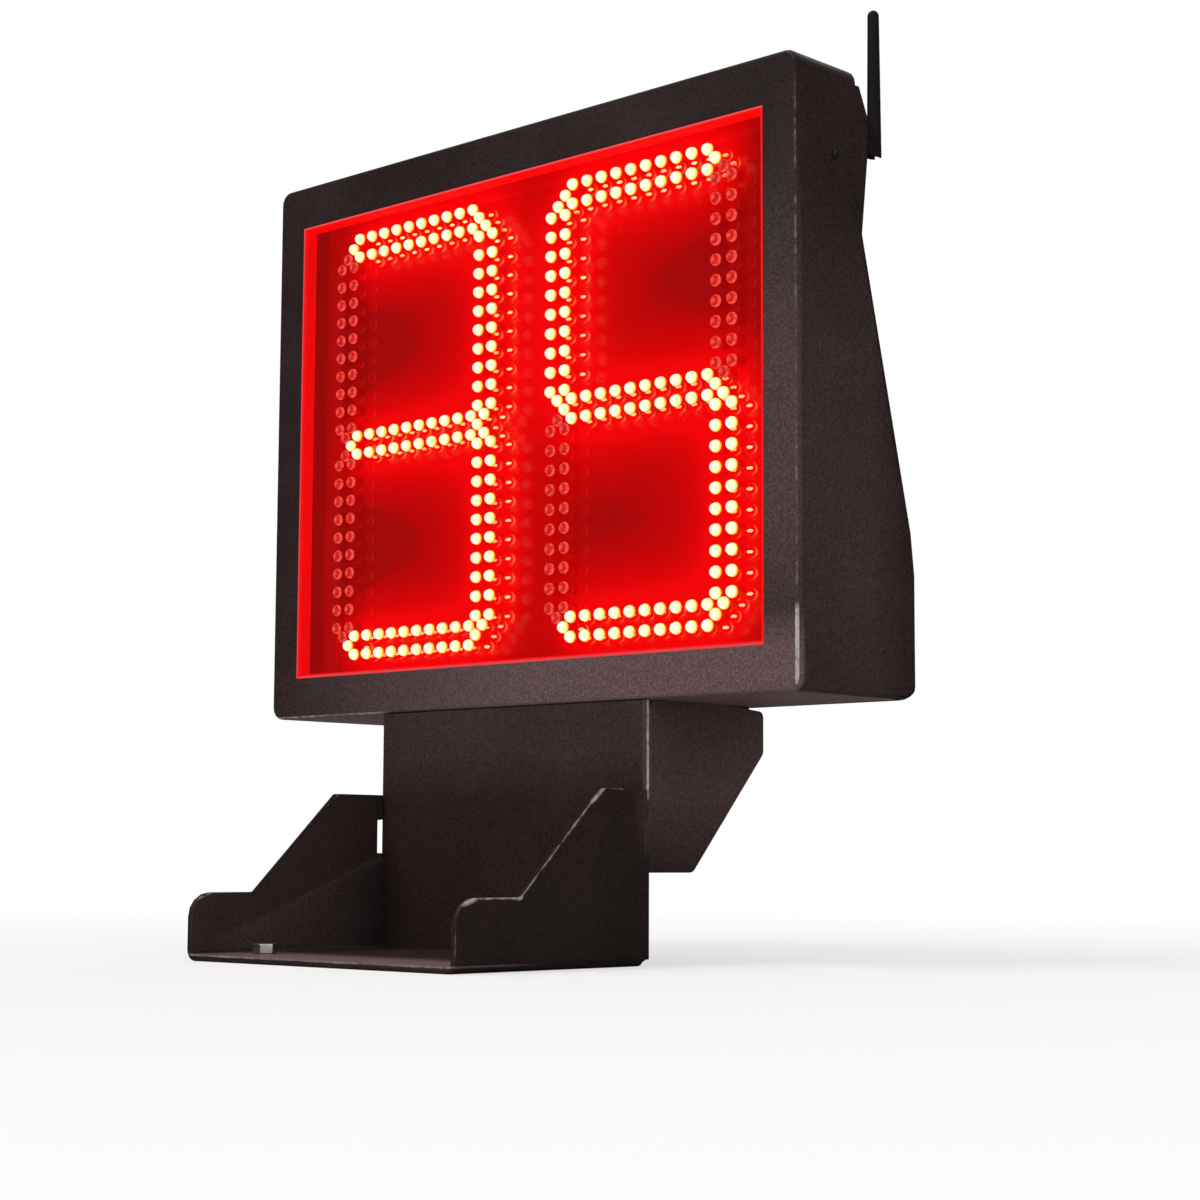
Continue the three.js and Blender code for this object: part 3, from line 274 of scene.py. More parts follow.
bracket_low, bracket_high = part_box("mounting_bracket")
right_side = bracket_high.x
left_inside = -0.1175
plate_front = bracket_low.y
flange_top = 0.0420
corner_end = -0.0635
slope_foot = 0.0423
shoulder_top = 0.1055
bracket_coat = powder_coat(
    "textured powder coat, chalked and worn on the bracket",
    painted_sheen=[
        # painted sheen on the foot plate's top, the right wing's outside, the left flange's inside and
        # the post's front
        ((-0.117, -0.10, 0.0038), (0.117, -0.05, 0.0042), (0.03, 0.045, 0.0006), 1.35),
        ((0.119, 0.085, 0.10), (0.123, 0.19, 0.16), (0.001, 0.02, 0.05), 0.30),
        ((-0.1176, -0.07, 0.01), (-0.1174, 0.03, 0.08), (0.0004, 0.05, 0.05), 0.14),
        ((-0.10, 0.077, 0.13), (0.123, 0.080, 0.16), (0.05, 0.001, 0.03), 0.14),
    ],
    # painted shade on the right flange's outside, near the floor
    painted_shade=[((0.1205, -0.08, 0.0), (0.1225, 0.08, 0.03), (0.0005, 0.02, 0.08), 0.36)],
    # the post's right bend, above the flange
    rubbed=[((0.1196, 0.0795, 0.102), (0.1205, 0.0804, 0.16), (0.0006, 0.0006, 0.01), 0.75)],
    worn_lines=[
        # the right flange: its front corner, its top, the foot of its slope, the slope, the shoulder
        ((right_side, -0.0725, 0.0390), (right_side, corner_end, flange_top), 0.0036, 1.0),
        ((right_side, corner_end, flange_top), (right_side, -0.0330, flange_top), 0.0024, 0.9),
        ((right_side, -0.0305, flange_top), (right_side, -0.0285, slope_foot), 0.0034, 1.0),
        ((right_side, -0.0285, slope_foot), (right_side, 0.0375, 0.1050), 0.0024, 0.78),
        ((right_side, 0.0290, 0.0970), (right_side, 0.0405, shoulder_top), 0.0030, 1.0),
        ((right_side, 0.0400, shoulder_top), (right_side, 0.0560, shoulder_top), 0.0020, 0.6),
        # the front edges of the right flange and of the foot plate
        ((0.1210, plate_front, 0.0080), (0.1210, plate_front, 0.0300), 0.0016, 0.55),
        ((-0.1170, plate_front, 0.0036), (0.1170, plate_front, 0.0036), 0.0016, 0.62),
        # the left flange: its front corner, its top, its front edge, the shoulder
        ((left_inside, -0.0740, 0.0376), (left_inside, corner_end, flange_top), 0.0026, 0.7),
        ((left_inside, corner_end, flange_top), (left_inside, -0.0310, flange_top), 0.0020, 0.6),
        ((left_inside, -0.0780, 0.0120), (left_inside, -0.0780, 0.0300), 0.0014, 0.5),
        ((left_inside, 0.0300, 0.0980), (left_inside, 0.0390, shoulder_top), 0.0020, 0.55),
    ],
)
bracket = soft_copy("bent_bracket", "mounting_bracket", edge=1.0, finish=bracket_coat)
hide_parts("mounting_bracket")
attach(bracket, "clock")

# Head housing and rear cover
# 2 mm steel, folded and powder coated with the bracket. The front bends are tight and even; the cover is
# screwed on behind. A painted sheen lies on the lower and right borders of the face, and the front bends
# are rubbed.

housing_low, housing_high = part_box("front_housing")
front, right_wall, foot = housing_low.y, housing_high.x, housing_low.z
housing_coat = powder_coat(
    "textured powder coat, chalked along the face",
    painted_sheen=[
        # painted sheen on the face's lower border, its right border and the right wall, and a painted
        # reflection on the underside
        ((0.02, front, foot), (right_wall, front + 0.004, foot + 0.026), (0.26, 0.004, 0.03), 0.76),
        (
            (0.205, front, foot + 0.10),
            (right_wall, front + 0.003, foot + 0.20),
            (0.02, 0.004, 0.12),
            0.36,
        ),
        ((0.235, front + 0.012, foot + 0.05), (0.24, 0.15, foot + 0.20), (0.02, 0.03, 0.10), 0.15),
        ((-0.24, front + 0.004, foot - 0.001), (0.24, 0.19, foot + 0.0002), (0.01, 0.01, 0.0006), 0.95),
    ],
    rubbed=[
        # the right front bend near its foot, the whole of that bend, the left end of the lower bend
        (
            (0.2352, front + 0.0003, foot),
            (0.2369, front + 0.0016, foot + 0.045),
            (0.0006, 0.0004, 0.012),
            1.0,
        ),
        (
            (0.2354, front + 0.0004, foot),
            (0.2366, front + 0.0012, foot + 0.38),
            (0.0005, 0.0004, 0.01),
            0.41,
        ),
        (
            (-0.236, front + 0.0003, foot + 0.0003),
            (-0.12, front + 0.0014, foot + 0.0016),
            (0.02, 0.0005, 0.0005),
            0.62,
        ),
    ],
)
housing = soft_copy("folded_housing", "front_housing", edge=0.4, finish=housing_coat)
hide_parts("front_housing")
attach(housing, "clock")
cover_coat = powder_coat("textured powder coat on steel")
cover = soft_copy("bent_cover", "rear_cover", edge=0.4, finish=cover_coat)
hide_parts("rear_cover")
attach(cover, "clock")

# Bolts, nuts and screws
# Zinc-plated steel, cold headed, with a bright bluish passivation.
# Two bolts hold the foot, and four with nuts hold the head. The pan head screws are black oxide steel.


def zinc_plate():
    """Zinc electroplate: a cool light grey metal, a little cloudy, with soft-edged highlights."""
    finish, tree, place, output = new_finish("zinc plate on steel")
    cloud = add_node(
        tree, "ShaderNodeTexNoise", {"Vector": place, "Scale": 220.0, "Detail": 4.0}
    ).outputs["Fac"]
    colour = add_node(
        tree,
        "ShaderNodeMix",
        {0: cloud, 6: linear("#a9adb1"), 7: linear("#cfd0cc")},
        data_type="RGBA",
    ).outputs[2]
    rough = add_node(
        tree, "ShaderNodeMapRange", {"Value": cloud, "To Min": 0.24, "To Max": 0.42}
    ).outputs["Result"]
    relief = add_node(
        tree, "ShaderNodeBump", {"Height": cloud, "Strength": 0.15, "Distance": 0.0001}
    ).outputs["Normal"]
    metal = add_node(
        tree,
        "ShaderNodeBsdfPrincipled",
        {"Base Color": colour, "Metallic": 1.0, "Roughness": rough, "Normal": relief},
    ).outputs["BSDF"]
    tree.links.new(metal, output.inputs["Surface"])
    return finish


def plain_finish(name, codes, roughness, metallic, scale, strength=0.2, gloss=0.5):
    """A finish of two close colours in a cloud whose grains are 1 m / scale wide."""
    finish, tree, place, output = new_finish(name)
    cloud = add_node(
        tree, "ShaderNodeTexNoise", {"Vector": place, "Scale": scale, "Detail": 4.0}
    ).outputs["Fac"]
    colour = add_node(
        tree,
        "ShaderNodeMix",
        {0: cloud, 6: linear(codes[0]), 7: linear(codes[1])},
        data_type="RGBA",
    ).outputs[2]
    rough = add_node(
        tree,
        "ShaderNodeMapRange",
        {"Value": cloud, "To Min": roughness - 0.07, "To Max": roughness + 0.07},
    ).outputs["Result"]
    relief = add_node(
        tree, "ShaderNodeBump", {"Height": cloud, "Strength": strength, "Distance": 0.0002}
    ).outputs["Normal"]
    skin = add_node(
        tree,
        "ShaderNodeBsdfPrincipled",
        {
            "Base Color": colour,
            "Metallic": metallic,
            "Roughness": rough,
            "Normal": relief,
            "Specular IOR Level": gloss,
        },
    ).outputs["BSDF"]
    tree.links.new(skin, output.inputs["Surface"])
    return finish


zinc = zinc_plate()
bolt_nodes = [name for name in solids if "bolt" in name or "clamp_nut" in name]
bolts = soft_copy("hexagon_bolts_and_nuts", *bolt_nodes, edge=0.5, finish=zinc)
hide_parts(*bolt_nodes)
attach(bolts, "clock")
screw_nodes = [name for name in solids if "screw" in name]
oxide = plain_finish("black oxide on steel", ("#1d1a1a", "#2b2727"), 0.4, 0.6, 500.0)
screws = soft_copy("pan_head_screws", *screw_nodes, edge=0.3, finish=oxide)
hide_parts(*screw_nodes)
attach(screws, "clock")

# Window
# A folded frame lines the opening in the face, and its flange is pressed on a silicone gasket behind the
# face. The 2 mm acrylic pane is bonded in the frame's rebate. The display's light on the frame's inner
# walls, the gasket and the pane's edges is painted on as a glow.

display_middle = 0.349
opening_half_width, opening_half_height = 0.2118, 0.1610
frame_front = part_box("window_frame")[0].y


def tinted_acrylic():
    """Cast acrylic with a light red tint, clear to look through and glossy. It casts hardly a shadow."""
    finish, tree, place, output = new_finish("red tinted cast acrylic")
    haze = add_node(
        tree, "ShaderNodeTexNoise", {"Vector": place, "Scale": 9.0, "Detail": 3.0}
    ).outputs["Fac"]
    rough = add_node(
        tree, "ShaderNodeMapRange", {"Value": haze, "To Min": 0.0, "To Max": 0.01}
    ).outputs["Result"]
    sheet = add_node(
        tree,
        "ShaderNodeBsdfPrincipled",
        {
            "Base Color": linear("#fff5f3"),
            "Roughness": rough,
            "IOR": 1.49,
            "Transmission Weight": 1.0,
        },
    ).outputs["BSDF"]
    clear = add_node(
        tree, "ShaderNodeBsdfTransparent", {"Color": linear("#fff5f3")}
    ).outputs["BSDF"]
    shadow = add_node(tree, "ShaderNodeLightPath").outputs["Is Shadow Ray"]
    mixed = add_node(tree, "ShaderNodeMixShader", {0: shadow, 1: sheet, 2: clear}).outputs[0]
    tree.links.new(mixed, output.inputs["Surface"])
    return finish


def painted_glow_sheet(name, unlit, low, high):
    """A pale part with the red display's light painted on as glow: a saturated red, a little cloudy,
    whose painted glow runs from low to high and is fullest above the digits. A painted pinkish highlight
    runs along its front rim at the left, top and bottom."""
    finish, tree, place, output = new_finish(name)
    cloud = add_node(
        tree, "ShaderNodeTexNoise", {"Vector": place, "Scale": 30.0, "Detail": 2.0}
    ).outputs["Fac"]
    # painted glow: the display's light laid on as emission, brighter above the digits
    glow = add_node(
        tree, "ShaderNodeMapRange", {"Value": cloud, "To Min": low, "To Max": high}
    ).outputs["Result"]
    parts = add_node(tree, "ShaderNodeSeparateXYZ", {"Vector": place}).outputs
    overhead = add_node(
        tree,
        "ShaderNodeMapRange",
        {
            "Value": parts["Z"],
            "From Min": display_middle + 0.146,
            "From Max": display_middle + 0.157,
            "To Max": 0.14,
        },
    ).outputs["Result"]
    glow = add_node(tree, "ShaderNodeMath", {0: glow, 1: overhead}, operation="ADD").outputs[0]
    leftward = add_node(
        tree, "ShaderNodeMath", {0: parts["X"], 1: -1.0}, operation="MULTIPLY"
    ).outputs[0]
    # the way up or down is lengthened to the half width, so that one limit finds three sides of the rim
    upright = parts["Z"]
    for operation, other in (
        ("SUBTRACT", display_middle),
        ("ABSOLUTE", 0.0),
        ("ADD", opening_half_width - opening_half_height),
    ):
        upright = add_node(
            tree, "ShaderNodeMath", {0: upright, 1: other}, operation=operation
        ).outputs[0]
    outward = add_node(
        tree, "ShaderNodeMath", {0: leftward, 1: upright}, operation="MAXIMUM"
    ).outputs[0]
    # painted highlight: a pinkish line along the front rim
    rim = add_node(
        tree,
        "ShaderNodeMapRange",
        {
            "Value": outward,
            "From Min": opening_half_width - 0.0016,
            "From Max": opening_half_width - 0.0012,
        },
    ).outputs["Result"]
    forward = add_node(
        tree,
        "ShaderNodeMapRange",
        {"Value": parts["Y"], "From Min": frame_front + 0.0008, "From Max": frame_front + 0.0002},
    ).outputs["Result"]
    rim = add_node(tree, "ShaderNodeMath", {0: rim, 1: forward}, operation="MULTIPLY").outputs[0]
    light = add_node(
        tree,
        "ShaderNodeMix",
        {0: rim, 6: linear("#ff0206"), 7: linear("#d84e55")},
        data_type="RGBA",
    ).outputs[2]
    paint = add_node(
        tree,
        "ShaderNodeBsdfPrincipled",
        {
            "Base Color": linear(unlit),
            "Roughness": 0.5,
            "Specular IOR Level": 0.2,
            "Emission Color": light,
            "Emission Strength": glow,
        },
    ).outputs["BSDF"]
    tree.links.new(paint, output.inputs["Surface"])
    return finish


def dress(node, finish):
    """A CAD solid keeps its mesh and gets a finish."""
    solids[node].data.materials.clear()
    solids[node].data.materials.append(finish)


dress("window_pane", tinted_acrylic())
pane_mesh = solids["window_pane"].data
# the pane's sawn edges, the frame and the gasket glow with painted display light
pane_mesh.materials.append(painted_glow_sheet("sawn edge of the acrylic", "#6a2022", 0.8, 0.9))
for face in pane_mesh.polygons:
    face.material_index = 0 if abs(face.normal.y) > 0.5 else 1
dress("window_frame", painted_glow_sheet("primed sheet with the display's light painted on", "#5a0c0e", 0.8, 0.92))
dress("window_gasket", painted_glow_sheet("red silicone gasket", "#5a0c0e", 0.7, 0.8))

# Digit boards
# Two glossy red circuit boards stand side by side. Each digit is seven segments of 22 domed lamps: two
# rows of ten and a lamp at each pointed end. The clock shows 35, so either board lights five segments.

led_pitch = 0.0127
digit_columns, digit_rows = 12, 23
board_thickness = 0.0016
board_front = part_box("digit_board_left")[1].y - board_thickness
board_half_spacing = 0.2071 / 2
# each segment's first column and row, and whether it stands upright
segment_of = {
    "top": (0, 0, False),
    "middle": (0, 11, False),
    "bottom": (0, 22, False),
    "upper left": (0, 0, True),
    "lower left": (0, 11, True),
    "upper right": (11, 0, True),
    "lower right": (11, 11, True),
}
lit_segments = {
    -1: ("top", "upper right", "middle", "lower right", "bottom"),
    1: ("top", "upper left", "middle", "lower right", "bottom"),
}


def segment_lamps(column, row, upright):
    """One segment's lamps, in pitches from the digit's top left: two rows of ten, and the two points."""
    steps = [(step + 1.5, across) for step in range(10) for across in (0, 1)]
    steps += [(1, 0.5), (11, 0.5)]
    return [
        (column + across, row + along) if upright else (column + along, row + across)
        for along, across in steps
    ]


def lamp_places(side, lit):
    """Where one board's lit or unlit lamps stand; side is -1 for the left board and 1 for the right."""
    places = []
    for name, segment in segment_of.items():
        if (name in lit_segments[side]) == lit:
            for column, row in segment_lamps(*segment):
                x = side * board_half_spacing + (column - digit_columns / 2) * led_pitch
                z = display_middle + (digit_rows / 2 - row) * led_pitch
                places.append((x, board_front, z))
    return places


def lamp_tree():
    """Geometry nodes: a domed lamp on every point, its tip to the front. Its wall runs from Start to
    Shoulder and its dome from there to Length, measured from the board."""
    tree = bpy.data.node_groups.new("lamps on a board", "GeometryNodeTree")
    tree.interface.new_socket("Points", in_out="INPUT", socket_type="NodeSocketGeometry")
    for kind, sizes in (
        ("Float", {"Diameter": 0.008, "Length": 0.012, "Shoulder": 0.008, "Start": 0.0, "Stretch": 1.0}),
        ("Int", {"Sides": 12, "Rings": 5, "Seed": 7}),
    ):
        for name, value in sizes.items():
            socket = tree.interface.new_socket(name, in_out="INPUT", socket_type=f"NodeSocket{kind}")
            socket.default_value = value
    tree.interface.new_socket("Plastic", in_out="INPUT", socket_type="NodeSocketMaterial")
    tree.interface.new_socket("Lamps", in_out="OUTPUT", socket_type="NodeSocketGeometry")
    given = add_node(tree, "NodeGroupInput").outputs

    def number(operation, a, b=0.0):
        return add_node(tree, "ShaderNodeMath", {0: a, 1: b}, operation=operation).outputs[0]

    # a plain barrel whose first ring becomes the wall, and whose other rings close over it as the dome
    barrel = add_node(
        tree,
        "GeometryNodeMeshCylinder",
        {
            "Vertices": given["Sides"],
            "Side Segments": given["Rings"],
            "Radius": number("DIVIDE", given["Diameter"], 2.0),
            "Depth": 1.0,
        },
    ).outputs["Mesh"]
    place = add_node(tree, "GeometryNodeInputPosition").outputs["Position"]
    split = add_node(tree, "ShaderNodeSeparateXYZ", {"Vector": place}).outputs
    along = number("ADD", split["Z"], 0.5)
    body = number("MINIMUM", number("MULTIPLY", along, given["Rings"]), 1.0)
    first = number("DIVIDE", 1.0, given["Rings"])
    past_wall = number("MAXIMUM", number("SUBTRACT", along, first), 0.0)
    # the dome turns inwards by a little less than a right angle, which leaves a small flat at its tip
    dome_turn = 1.5
    turn = number("DIVIDE", number("MULTIPLY", past_wall, dome_turn), number("SUBTRACT", 1.0, first))
    dome = number("SUBTRACT", given["Length"], given["Shoulder"])
    wall = number("SUBTRACT", given["Shoulder"], given["Start"])
    height = number(
        "ADD",
        number("ADD", number("MULTIPLY", body, wall), given["Start"]),
        number("MULTIPLY", number("SINE", turn), dome),
    )
    shrink = number("COSINE", turn)
    moved = add_node(
        tree,
        "ShaderNodeCombineXYZ",
        {
            "X": number("MULTIPLY", number("MULTIPLY", split["X"], given["Stretch"]), shrink),
            "Y": number("MULTIPLY", split["Y"], shrink),
            "Z": height,
        },
    ).outputs["Vector"]
    marked = add_node(
        tree,
        "GeometryNodeStoreNamedAttribute",
        {"Geometry": barrel, "Name": "dome", "Value": number("DIVIDE", turn, dome_turn)},
        data_type="FLOAT",
        domain="POINT",
    ).outputs[0]
    lamp = add_node(
        tree, "GeometryNodeSetPosition", {"Geometry": marked, "Position": moved}
    ).outputs[0]
    stood = add_node(
        tree,
        "GeometryNodeInstanceOnPoints",
        {"Points": given["Points"], "Instance": lamp, "Rotation": (math.pi / 2, 0, 0)},
    ).outputs[0]
    chance = add_node(
        tree, "FunctionNodeRandomValue", {"Seed": given["Seed"]}, data_type="FLOAT"
    ).outputs[1]
    toned = add_node(
        tree,
        "GeometryNodeStoreNamedAttribute",
        {"Geometry": stood, "Name": "tone", "Value": chance},
        data_type="FLOAT",
        domain="INSTANCE",
    ).outputs[0]
    real = add_node(tree, "GeometryNodeRealizeInstances", {"Geometry": toned}).outputs[0]
    smooth = add_node(tree, "GeometryNodeSetShadeSmooth", {"Geometry": real}).outputs[0]
    finished = add_node(
        tree, "GeometryNodeSetMaterial", {"Geometry": smooth, "Material": given["Plastic"]}
    ).outputs[0]
    add_node(tree, "NodeGroupOutput", {"Lamps": finished})
    return tree


def grown(name, points, tree, values):
    """A tree's result on a set of points, as a plain mesh."""
    mesh = bpy.data.meshes.new(name)
    mesh.from_pydata(points, [], [])
    piece = bpy.data.objects.new(name, mesh)
    bpy.context.scene.collection.objects.link(piece)
    growth = piece.modifiers.new("growth", "NODES")
    growth.node_group = tree
    for item in tree.interface.items_tree:
        if item.in_out == "INPUT" and item.name in values:
            growth[item.identifier] = values[item.name]
    result = bpy.data.meshes.new_from_object(
        piece.evaluated_get(bpy.context.evaluated_depsgraph_get())
    )
    piece.modifiers.clear()
    piece.data = result
    result.name = name
    return piece


def lit_lens():
    """Moulded clear epoxy over a burning red die: the dome overexposes to a pale yellow with an orange
    shoulder, and the wall below the shoulder stays clear."""
    finish, tree, _, output = new_finish("clear epoxy lens, lit")
    dome = add_node(tree, "ShaderNodeAttribute", attribute_name="dome").outputs["Fac"]
    ramp = add_node(tree, "ShaderNodeValToRGB", {"Fac": dome})
    stops = ramp.color_ramp.elements
    stops[0].color = linear("#ff7a10")
    stops[1].color = linear("#ffffe0")
    for position, code in ((0.1, "#ffc028"), (0.22, "#fff58c"), (0.4, "#ffffd8")):
        stops.new(position).color = linear(code)
    tone = add_node(tree, "ShaderNodeAttribute", attribute_name="tone").outputs["Fac"]
    power = add_node(
        tree, "ShaderNodeMapRange", {"Value": tone, "To Min": 1.2, "To Max": 1.4}
    ).outputs["Result"]
    glow = add_node(
        tree, "ShaderNodeEmission", {"Color": ramp.outputs["Color"], "Strength": power}
    ).outputs[0]
    clear = add_node(
        tree, "ShaderNodeBsdfTransparent", {"Color": linear("#fff2ea")}
    ).outputs[0]
    past_wall = add_node(
        tree, "ShaderNodeMapRange", {"Value": dome, "From Max": 0.02}
    ).outputs["Result"]
    lens = add_node(tree, "ShaderNodeMixShader", {0: past_wall, 1: clear, 2: glow}).outputs[0]
    tree.links.new(lens, output.inputs["Surface"])
    return finish


def dark_lens():
    """Moulded red epoxy with nothing lit inside: a painted glint, a broken pinkish ring and a small heart
    of emission, stands for its neighbours' light caught in the dome, and the wall stays clear. The ring
    breaks up about every 2.4 mm."""
    finish, tree, place, output = new_finish("red epoxy lens, unlit")
    dome = add_node(tree, "ShaderNodeAttribute", attribute_name="dome").outputs["Fac"]
    ring = add_node(tree, "ShaderNodeValToRGB", {"Fac": dome})
    stops = ring.color_ramp.elements
    stops[0].color = (0, 0, 0, 1)
    stops[1].color = (0.9, 0.9, 0.9, 1)
    # the ring's edges and then the heart's, from the dome's foot to its tip
    ring_levels = ((0.05, 0.2), (0.14, 1.0), (0.36, 1.0), (0.46, 0.22), (0.74, 0.2), (0.86, 0.9))
    for position, level in ring_levels:
        stops.new(position).color = (level, level, level, 1)
    facets = add_node(
        tree, "ShaderNodeTexNoise", {"Vector": place, "Scale": 420.0, "Detail": 1.0}
    ).outputs["Fac"]
    broken = add_node(
        tree,
        "ShaderNodeMapRange",
        {"Value": facets, "From Min": 0.34, "From Max": 0.52, "To Min": 0.3},
    ).outputs["Result"]
    level = add_node(
        tree, "ShaderNodeMath", {0: ring.outputs["Color"], 1: broken}, operation="MULTIPLY"
    ).outputs[0]
    # painted glint: the ring and the heart glow as emission
    glint = add_node(
        tree, "ShaderNodeEmission", {"Color": linear("#fb584e"), "Strength": 1.12}
    ).outputs[0]
    clear = add_node(
        tree, "ShaderNodeBsdfTransparent", {"Color": linear("#fbe6e4")}
    ).outputs[0]
    lens = add_node(tree, "ShaderNodeMixShader", {0: level, 1: clear, 2: glint}).outputs[0]
    tree.links.new(lens, output.inputs["Surface"])
    return finish


def die_cup():
    """The bright die in its cup, seen only from the side and in the board's gloss."""
    finish, tree, _, output = new_finish("burning die")
    tone = add_node(tree, "ShaderNodeAttribute", attribute_name="tone").outputs["Fac"]
    power = add_node(
        tree, "ShaderNodeMapRange", {"Value": tone, "To Min": 11.0, "To Max": 16.0}
    ).outputs["Result"]
    glow = add_node(
        tree, "ShaderNodeEmission", {"Color": linear("#ffd8a0"), "Strength": power}
    ).outputs[0]
    tree.links.new(glow, output.inputs["Surface"])
    return finish


def painted_glow_underside(name, code):
    """The underside of an epoxy lens, with the display's light painted on as a glow."""
    finish, tree, _, output = new_finish(name)
    tone = add_node(tree, "ShaderNodeAttribute", attribute_name="tone").outputs["Fac"]
    power = add_node(
        tree, "ShaderNodeMapRange", {"Value": tone, "To Min": 0.9, "To Max": 1.0}
    ).outputs["Result"]
    glow = add_node(
        tree, "ShaderNodeEmission", {"Color": linear(code), "Strength": power}
    ).outputs[0]
    tree.links.new(glow, output.inputs["Surface"])
    return finish


def board_with_painted_glow():
    """Solder mask gloss over a printed board, with its lamps' light painted on as emission: the red
    saturates near lit rows and falls to a dark red between them. The gloss shows a mirrored glint beside
    each lit lamp."""
    finish, tree, place, output = new_finish("glossy red solder mask")
    glow = add_node(tree, "ShaderNodeAttribute", attribute_name="glow").outputs["Fac"]
    # painted glow: the lamps' light on the board is laid on as emission, from dark red to full red
    ramp = add_node(tree, "ShaderNodeValToRGB", {"Fac": glow})
    stops = ramp.color_ramp.elements
    stops[0].color = linear("#930b0b")
    stops[1].color = linear("#fc0307")
    for position, code in (
        (0.24, "#9c0b0a"),
        (0.3, "#9c0808"),
        (0.45, "#a80606"),
        (0.5, "#be0405"),
        (0.8, "#e30205"),
    ):
        stops.new(position).color = linear(code)
    weave = add_node(
        tree, "ShaderNodeTexNoise", {"Vector": place, "Scale": 60.0, "Detail": 3.0}
    ).outputs["Fac"]
    power = add_node(
        tree, "ShaderNodeMapRange", {"Value": weave, "To Min": 0.94, "To Max": 1.04}
    ).outputs["Result"]
    mask = add_node(
        tree,
        "ShaderNodeBsdfPrincipled",
        {
            "Base Color": linear("#240203"),
            "Roughness": 0.03,
            "IOR": 1.9,
            "Emission Color": ramp.outputs["Color"],
            "Emission Strength": power,
        },
    ).outputs["BSDF"]
    tree.links.new(mask, output.inputs["Surface"])
    return finish


def plate_with_painted_glow(name, node):
    """The board's own plate, in a grid fine enough to carry the painted glow of its lit lamps."""
    low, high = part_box(node)
    low = Vector((low.x, board_front, low.z))
    columns, rows = 42, 68
    shape = bmesh.new()
    xs = np.linspace(low.x, high.x, columns)
    zs = np.linspace(low.z, high.z, rows)
    grid = [[shape.verts.new((x, low.y, z)) for x in xs] for z in zs]
    for j in range(rows - 1):
        for i in range(columns - 1):
            shape.faces.new((grid[j][i], grid[j][i + 1], grid[j + 1][i + 1], grid[j + 1][i]))
    rim = [e for e in shape.edges if e.is_boundary]
    walls = bmesh.ops.extrude_edge_only(shape, edges=rim)["geom"]
    moved = [v for v in walls if isinstance(v, bmesh.types.BMVert)]
    bmesh.ops.translate(shape, verts=moved, vec=(0, high.y - low.y, 0))
    back = [e for e in shape.edges if e.is_boundary]
    bmesh.ops.edgeloop_fill(shape, edges=back)
    bmesh.ops.recalc_face_normals(shape, faces=shape.faces)
    mesh = bpy.data.meshes.new(name)
    shape.to_mesh(mesh)
    shape.free()
    lit = np.array(lamp_places(-1, True) + lamp_places(1, True))
    corners = np.array([v.co for v in mesh.vertices])
    reach = np.hypot(
        corners[:, None, 0] - lit[None, :, 0], corners[:, None, 2] - lit[None, :, 2]
    )
    # each lit lamp adds a painted glow that falls off past its spread, and the board is full red at the
    # full sum
    painted_glow_spread, full_sum = 0.016, 2.4
    painted_glow_sum = (1 / (1 + (reach / painted_glow_spread) ** 2) ** 1.5).sum(1)
    value = np.clip(painted_glow_sum / full_sum, 0, 1) ** 0.55
    layer = mesh.attributes.new("glow", "FLOAT", "POINT")
    layer.data.foreach_set("value", value.astype(np.float32))
    piece = bpy.data.objects.new(name, mesh)
    bpy.context.scene.collection.objects.link(piece)
    return piece


lamps = lamp_tree()
board_finish = board_with_painted_glow()
lens_finishes = {True: lit_lens(), False: dark_lens()}
# a lit dome is drawn 1.2 mm longer, for the bloom that overexposure gives it in a photograph
lens_lengths = {True: 0.0132, False: 0.012}
die_finish = die_cup()
painted_glow_underside_finishes = {
    True: painted_glow_underside("lit lens underside", "#f0040a"),
    False: painted_glow_underside("unlit lens underside", "#d81010"),
}
for side, hand in ((-1, "left"), (1, "right")):
    node = f"digit_board_{hand}"
    plate = plate_with_painted_glow(f"board_{hand}", node)
    plate.data.materials.append(board_finish)
    pieces = [plate]
    for lit, word in ((True, "lit"), (False, "dark")):
        values = {"Length": lens_lengths[lit], "Plastic": lens_finishes[lit]}
        pieces.append(grown(f"lamps_{word}_{hand}", lamp_places(side, lit), lamps, values))
        # a thin disc inside each lens, just past its shoulder, that glows with painted display light
        values = {"Diameter": 0.0079, "Start": 0.0082, "Shoulder": 0.0083, "Length": 0.0084, "Rings": 2}
        values["Plastic"] = painted_glow_underside_finishes[lit]
        pieces.append(grown(f"lens_floors_{word}_{hand}", lamp_places(side, lit), lamps, values))
    values = {"Diameter": 0.0019, "Start": 0.0074, "Shoulder": 0.0080, "Length": 0.0081, "Rings": 2}
    values.update({"Stretch": 2.4, "Plastic": die_finish})
    pieces.append(grown(f"dies_{hand}", lamp_places(side, True), lamps, values))
    for piece in pieces:
        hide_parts(node)
        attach(piece, "clock")

# Inside the head
# The chassis and the supply are galvanised sheet, the small boards glass epoxy, the standoffs and the
# jack turned brass, the horn enamelled steel, and the ribbons and the lead PVC. They stay the CAD solids,
# since the closed cover hides nearly all of them.

